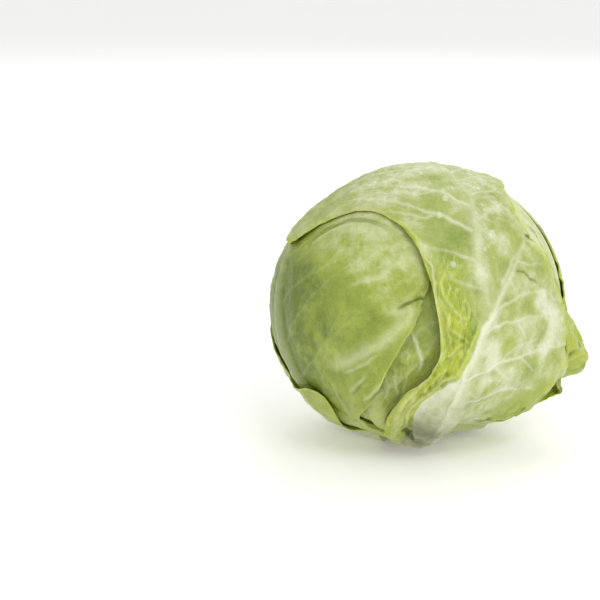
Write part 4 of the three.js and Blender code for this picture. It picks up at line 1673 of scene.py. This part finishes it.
LEFT_FOLDS = (
    Fold(((-1.1, 13.7), (-5.4, 11.5), (-8.9, 9), (-12.4, 6.6), (-16.8, 5.2), (-21.6, 3.9), (-27.4, 1.2)), 0.7, 1.1,
        2.2, 0.42, fade=0.45),
    # The shade under the front leaf's margin
    Fold(((-52, 20), (-47, 24.6), (-41.4, 27.7), (-33.8, 30.5), (-27.6, 31.2), (-20.3, 30.7), (-15, 28.4),
        (-8, 24.6)), -0.3, 1.3, 1.6, 0, 0.3, 0.6, 0.3),
    Fold(((-28.3, 32.3), (-32.9, 28.8), (-39.3, 25.7), (-43.9, 22.6), (-47.6, 18)), 0.4, 1.2, 1.6, 0.35),
    Fold(((6, 0), (2, -4.4), (-4.3, -10), (-8, -13.9), (-13, -17.2), (-18.4, -19.7), (-23.8, -22.4), (-32.4, -25.5),
        (-41.7, -25.4)), 0.6, 3.0, 3.4, 0.42),
    Fold(((-12, -20), (-17, -22.8), (-23, -25.8), (-31, -29)), 0.4, 1.0, 1.4, 0.4),
    # The dark beside this fold and the next two, and along the sunk line that follows, is painted shade
    Fold(((-55.6, -58.9), (-40.7, -47.5), (-38, -38.3), (-38.8, -30.4)), 0.8, 1.4, 2.0, 0.2, 0.1, 0.25),
    Fold(((-24.6, -40.8), (-18.7, -35.9), (-13.2, -31.4), (-11.3, -27.2)), 1.4, 1.0, 1.8, 0.35, 0.2, 0.6),
    Fold(((-30, -37), (-24, -32), (-18, -28.5)), 1.0, 1.0, 1.6, 0.3, 0.1, 0.45),
    Fold(((-17.6, 26.8), (-19, 20.6), (-19.7, 14.8)), 0.3, 1.3, 1.3, 0.2),
    Fold(((-7, -5.2), (-3.5, -3.2), (-1, -1.9), (1.4, -1.1), (4, -1.2), (7, -2.6)), -0.4, 0.55, 0.55, 0, 0.2, 0.9,
        0.3),
    Fold(((-12, -7), (-5, -5.6), (0, -5), (4, -5.4)), 0.5, 1.6, 1.8, 0.35, 0, 0, 0.3),
)
LEFT_BLOTS = (
    Blot(-17, 30, 16, 0.46), Blot(-38, 26, 14, 0.26), Blot(0, 12, 9, 0.25, 0.12), Blot(-34, -6, 18, -0.12),
    # Painted shade darkens the leaf towards its left side, at (-64, -6), (-60, -30) and (-56, -36); Blot(-30, -58)
    # pales its lower part as painted light
    Blot(-64, -6, 20, -0.5), Blot(-50, 8, 9, -0.2), Blot(-32, -22, 6, 0.14), Blot(-38, -40, 14, -0.05, 0.12),
    Blot(-5, -2, 7, 0.15, 0.1), Blot(-12, 9, 9, 0.16), Blot(-60, -30, 14, -0.25), Blot(-22, 8, 9, 0.05),
    Blot(-56, -36, 12, -0.22), Blot(-14, -12, 6, 0.1), Blot(-30, -58, 12, 0.25, 0.45),
)
INNER_FRONT_FOLDS = (
    # The dark beside the first and last of these folds is painted shade
    Fold(((-1.1, -11), (0.7, -16.5), (2.3, -20.9), (2.8, -25.6), (1.2, -31)), 1.0, 0.9, 1.2, 0.8, 0, 0.3),
    Fold(((-8.2, -29), (-8.1, -36), (-8.6, -42)), 0.6, 0.9, 0.9, 0.55),
    Fold(((-14, -26), (-12, -34), (-15, -44)), 0.6, 1.0, 1.0, 0.45),
    Fold(((-3, -28), (-4.5, -36), (-9, -46)), 0.8, 0.9, 1.2, 0.35, 0.3, 0.4),
)
INNER_FRONT_BLOTS = (
    # Blot(5, -8) pales the leaf where the front leaf's margin shades it: painted light
    Blot(-4.6, -22.5, 3.5, 0.4), Blot(5, -8, 8, 0.12), Blot(4, -20, 6, 0.1), Blot(-2, -32, 6, -0.1, 0.35),
    Blot(-22, -50, 12, -0.15, 0.45), Blot(-4, -28, 12, 0.0, 0.0, 0.5), Blot(-30, -62, 14, -0.15, 0.4),
)
RIGHT_INNER_FOLDS = (
    # A painted shadow: a dark green line beside the front leaf's margin
    Fold(((62, 34), (65, 27), (69, 18), (73, 9), (78, 1), (82, -8)), 0.3, 1.3, 1.3, 0, 0.5, 0.75, 0.12),
)
LOW_LEFT_FOLDS = (
    # Held close to the leaf above its upper margin
    Fold(((-100, -34), (-75, -38), (-60, -42), (-48, -48), (-40, -58)), -2.6, 12, 12, 0, 0, 0, 0.05),
)
FLAP_FOLDS = (
    # Above the flap, the left edge lies close to the leaf beneath
    Fold(((82, 54), (84, 46), (86, 30), (87, 16), (88, 4), (88, -8)), -5.4, 14, 14, 0, 0.15, 0, 0.14),
    # The dark beside the raised folds below, and along the last, sunk crease, is painted shade
    Fold(((80, -30), (85, -20), (86, -8), (85, 4)), 0.7, 1.2, 1.6, 0.3, 0.5, 0.15),
    Fold(((78, -29), (86, -31), (94, -34), (104, -36)), -4.5, 5, 5, 0, 0.3, 0, 0.1),
    Fold(((90, -32), (93, -24), (91, -12), (89, -2)), 0.9, 1.0, 1.6, 0.0, 0.3, 0.5),
    Fold(((94, -30), (97, -22), (95, -8)), 0.7, 1.0, 1.6, 0.25, 0.3, 0.3),
    Fold(((87, -6), (88, -14), (88, -21)), -0.7, 0.8, 0.8, 0, 0.3, 0.7),
)
FLAP_BLOTS = (
    # Blots at (88, 34), (84, 52), (86, -26), (82, -22) and (104, -19) pale the leaf where it lies in shade, as painted
    # light; the dark at (100, -34) and (92, -25) is painted shade
    Blot(91, -17, 15, -0.35, 0.9, 0.9), Blot(86, -4, 9, 0.0, 0.7, 0.5), Blot(82, 6, 8, 0.1, 0.4),
    Blot(88, 34, 18, 0.6, -0.6), Blot(86, -26, 7, 0.3, 0.9, 0.4), Blot(100, -34, 4, -0.3, 0.3, 0.9, 0.25),
    Blot(84, 52, 18, 0.5, -0.8), Blot(82, -22, 5, 0.2, 0.6), Blot(104, -19, 6, 0.9, 0.2),
    Blot(92, -25, 4, -0.4, 0.2, 0.9, 0.5), Blot(84, -14, 9, -0.3, 0.6),
)


def leaves() -> tuple[LeafBuilder, ...]:
    """The wrapper leaves with their finishes and details, innermost first.

    Returns:
        One builder for each leaf.
    """
    return (
        LeafBuilder(
            0, "leaf_mid_green",
            LeafFinish("mid green leaf", (0.17, 0.23, 0.02), (0.29, 0.36, 0.055), (0.54, 0.59, 0.26)),
            170, 110, VeinRule(21, height=0.5, pale=0.35), INNER_FRONT_FOLDS, INNER_FRONT_BLOTS,
            pale=0.42, rib_pale=0.25,
        ),
        LeafBuilder(
            1, "leaf_cream",
            LeafFinish("cream leaf", (0.34, 0.41, 0.10), (0.50, 0.55, 0.22), (0.68, 0.72, 0.44)),
            200, 120, VeinRule(22), RIGHT_INNER_FOLDS, pale=0.72, mottle=0.25,
        ),
        LeafBuilder(
            2, "leaf_soft_green",
            LeafFinish("soft green leaf", (0.18, 0.25, 0.04), (0.34, 0.41, 0.11), (0.54, 0.59, 0.27)),
            150, 110, VeinRule(23), pale=0.5,
        ),
        LeafBuilder(
            3, "leaf_left_green",
            LeafFinish("left green leaf", (0.12, 0.175, 0.010), (0.29, 0.355, 0.044), (0.55, 0.60, 0.31)),
            300, 220, VeinRule(24, height=0.35, width=1.1, pale=0.17, spacing=(11, 16)), LEFT_FOLDS, LEFT_BLOTS,
            pale=0.50, mottle=0.16, rib_pale=0.3, puff=0.35, wander=0.008,
        # The low rib_pale keeps the midrib dim: painted shade on the leaf's left side
        ),
        LeafBuilder(
            4, "leaf_yellow_green",
            LeafFinish(
                "yellow green leaf", (0.16, 0.21, 0.012), (0.38, 0.45, 0.065), (0.60, 0.64, 0.30),
                yellow=(0.37, 0.43, 0.03),
            ),
            240, 170, VeinRule(25), FLAP_FOLDS, FLAP_BLOTS, pale=0.42, ruffle=1.3, margin_yellow=0.8,
        ),
        LeafBuilder(
            FRONT_LAYER, "leaf_pale",
            LeafFinish(
                "pale front leaf", (0.20, 0.28, 0.035), (0.365, 0.422, 0.118), (0.665, 0.682, 0.49),
                # The last colour is this leaf's painted shade
                rib=(0.71, 0.72, 0.545), yellow=(0.43, 0.50, 0.045), painted_shade=(0.07, 0.085, 0.012),
            ),
            356, 216,
            VeinRule(
                26, start=104, height=0.5, width=1.3, pale=0.5, skip=((Side.LEFT, 0, 138), (Side.RIGHT, 0, 112)),
            ),
            FRONT_FOLDS, FRONT_BLOTS,
            pale=0.57, mottle=0.26, puff=0.6, rib_pale=0.85, rib_reach=(30, 82), wander=0.009, rounding=0.1,
        ),
        LeafBuilder(
            6, "leaf_deep_green",
            LeafFinish("deep green leaf", (0.17, 0.22, 0.02), (0.34, 0.40, 0.08), (0.54, 0.60, 0.24)),
            160, 150, VeinRule(27), LOW_LEFT_FOLDS, pale=0.45, ruffle=0.4,
        ),
        LeafBuilder(
            7, "leaf_back_green",
            LeafFinish("back green leaf", (0.20, 0.28, 0.045), (0.38, 0.45, 0.14), (0.60, 0.65, 0.35)),
            260, 200, VeinRule(28), pale=0.55, ruffle=0.9,
        ),
    )


# ---------- floor, light and camera ----------


@dataclass(frozen=True)
class Studio:
    """A pale floor, soft light and the photograph's point of view."""

    distance: float = 1.05
    elevation: float = 13.0
    focal_pixels: float = 1810.0
    frame_pixels: float = 600.0
    sensor: float = 36.0
    head_pixel: Place = (415.0, 304.0)

    def floor(self) -> None:
        """Makes the pale floor."""
        points = np.array([[-6, -6, 0], [6, -6, 0], [6, 8, 0], [-6, 8, 0]], float)
        floor = new_mesh("floor", points, np.array([[0, 1, 2, 3]]))
        material, nodes, shader = new_material("pale studio floor")
        place = nodes.add("ShaderNodeTexCoord").outputs["Object"]
        cloud = nodes.noise(place, 3.0, 2.0, 0.5)
        colour = nodes.ramp(cloud, ((0.0, (0.90, 0.90, 0.89)), (1.0, (0.93, 0.93, 0.92))))
        nodes.settle(shader, {
            "Base Color": colour,
            "Roughness": 0.8,
            "Emission Color": (1.0, 1.0, 0.99),
            "Emission Strength": 0.16,
        })
        floor.data.materials.append(material)

    def light(self, name: str, place: Place | tuple[float, float, float], size: float, power: float) -> None:
        """Adds a square soft light that points at the head.

        Args:
            name: its name.
            place: where it hangs, in metres.
            size: the length of its side.
            power: watts.
        """
        data = bpy.data.lights.new(name, "AREA")
        data.shape = "SQUARE"
        data.size = size
        data.energy = power
        lamp = bpy.data.objects.new(name, data)
        lamp.location = place
        lamp.rotation_euler = (Vector((0, 0, 0.08)) - Vector(place)).to_track_quat("-Z", "Y").to_euler()
        bpy.context.scene.collection.objects.link(lamp)

    def lights(self) -> None:
        """Adds the soft lights and the pale surroundings."""
        self.light("key softbox", (0.8, -1.5, 1.35), 1.3, 19)
        self.light("left fill", (-1.6, -0.9, 0.9), 1.2, 3)
        self.light("rear softbox", (0.3, 1.6, 1.4), 1.6, 11)
        world = bpy.data.worlds.new("pale studio")
        world.use_nodes = True
        background = world.node_tree.nodes["Background"]
        background.inputs["Color"].default_value = (1, 1, 1, 1)
        background.inputs["Strength"].default_value = 0.77
        bpy.context.scene.world = world
        bpy.context.scene.view_settings.view_transform = "Standard"

    def camera(self) -> None:
        """Makes the camera, turned so that the head falls where the photograph has it."""
        e = self.elevation * RAD
        target = Vector(HEAD_CENTRE * MM)
        eye = target + Vector((0, -math.cos(e), math.sin(e))) * self.distance
        to_head = target - eye
        half = self.frame_pixels / 2
        aside = (self.head_pixel[0] - half) / self.focal_pixels
        below = (self.head_pixel[1] - half) / self.focal_pixels
        look = to_head.normalized()
        for _ in range(8):
            right = look.cross(Vector((0, 0, 1))).normalized()
            up = right.cross(look)
            depth = to_head.dot(look)
            look = look + right * (to_head.dot(right) / depth - aside) + up * (to_head.dot(up) / depth + below)
            look.normalize()
        data = bpy.data.cameras.new("photo camera")
        data.sensor_width = self.sensor
        data.lens = self.focal_pixels / self.frame_pixels * self.sensor
        data.clip_start, data.clip_end = 0.05, 60
        camera = bpy.data.objects.new("photo camera", data)
        camera.location = eye
        camera.rotation_euler = look.to_track_quat("-Z", "Y").to_euler()
        bpy.context.scene.collection.objects.link(camera)
        bpy.context.scene.camera = camera

    def build(self) -> None:
        """Sets up everything that isn't the cabbage."""
        self.floor()
        self.lights()
        self.camera()


def save_sizes() -> None:
    """Updates the view layer."""
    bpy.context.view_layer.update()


def main() -> None:
    """Builds the cabbage piece by piece, then the studio."""
    logging.basicConfig(level=logging.INFO, format="%(name)s: %(message)s")
    detail = 1.0
    built = {builder.layer: builder.build(detail) for builder in leaves()}
    InnerHead().build()
    CutStem().build()
    WaterDrops().build(built[FRONT_LAYER])
    Studio().build()
    save_sizes()


if __name__ == "__main__":
    main()
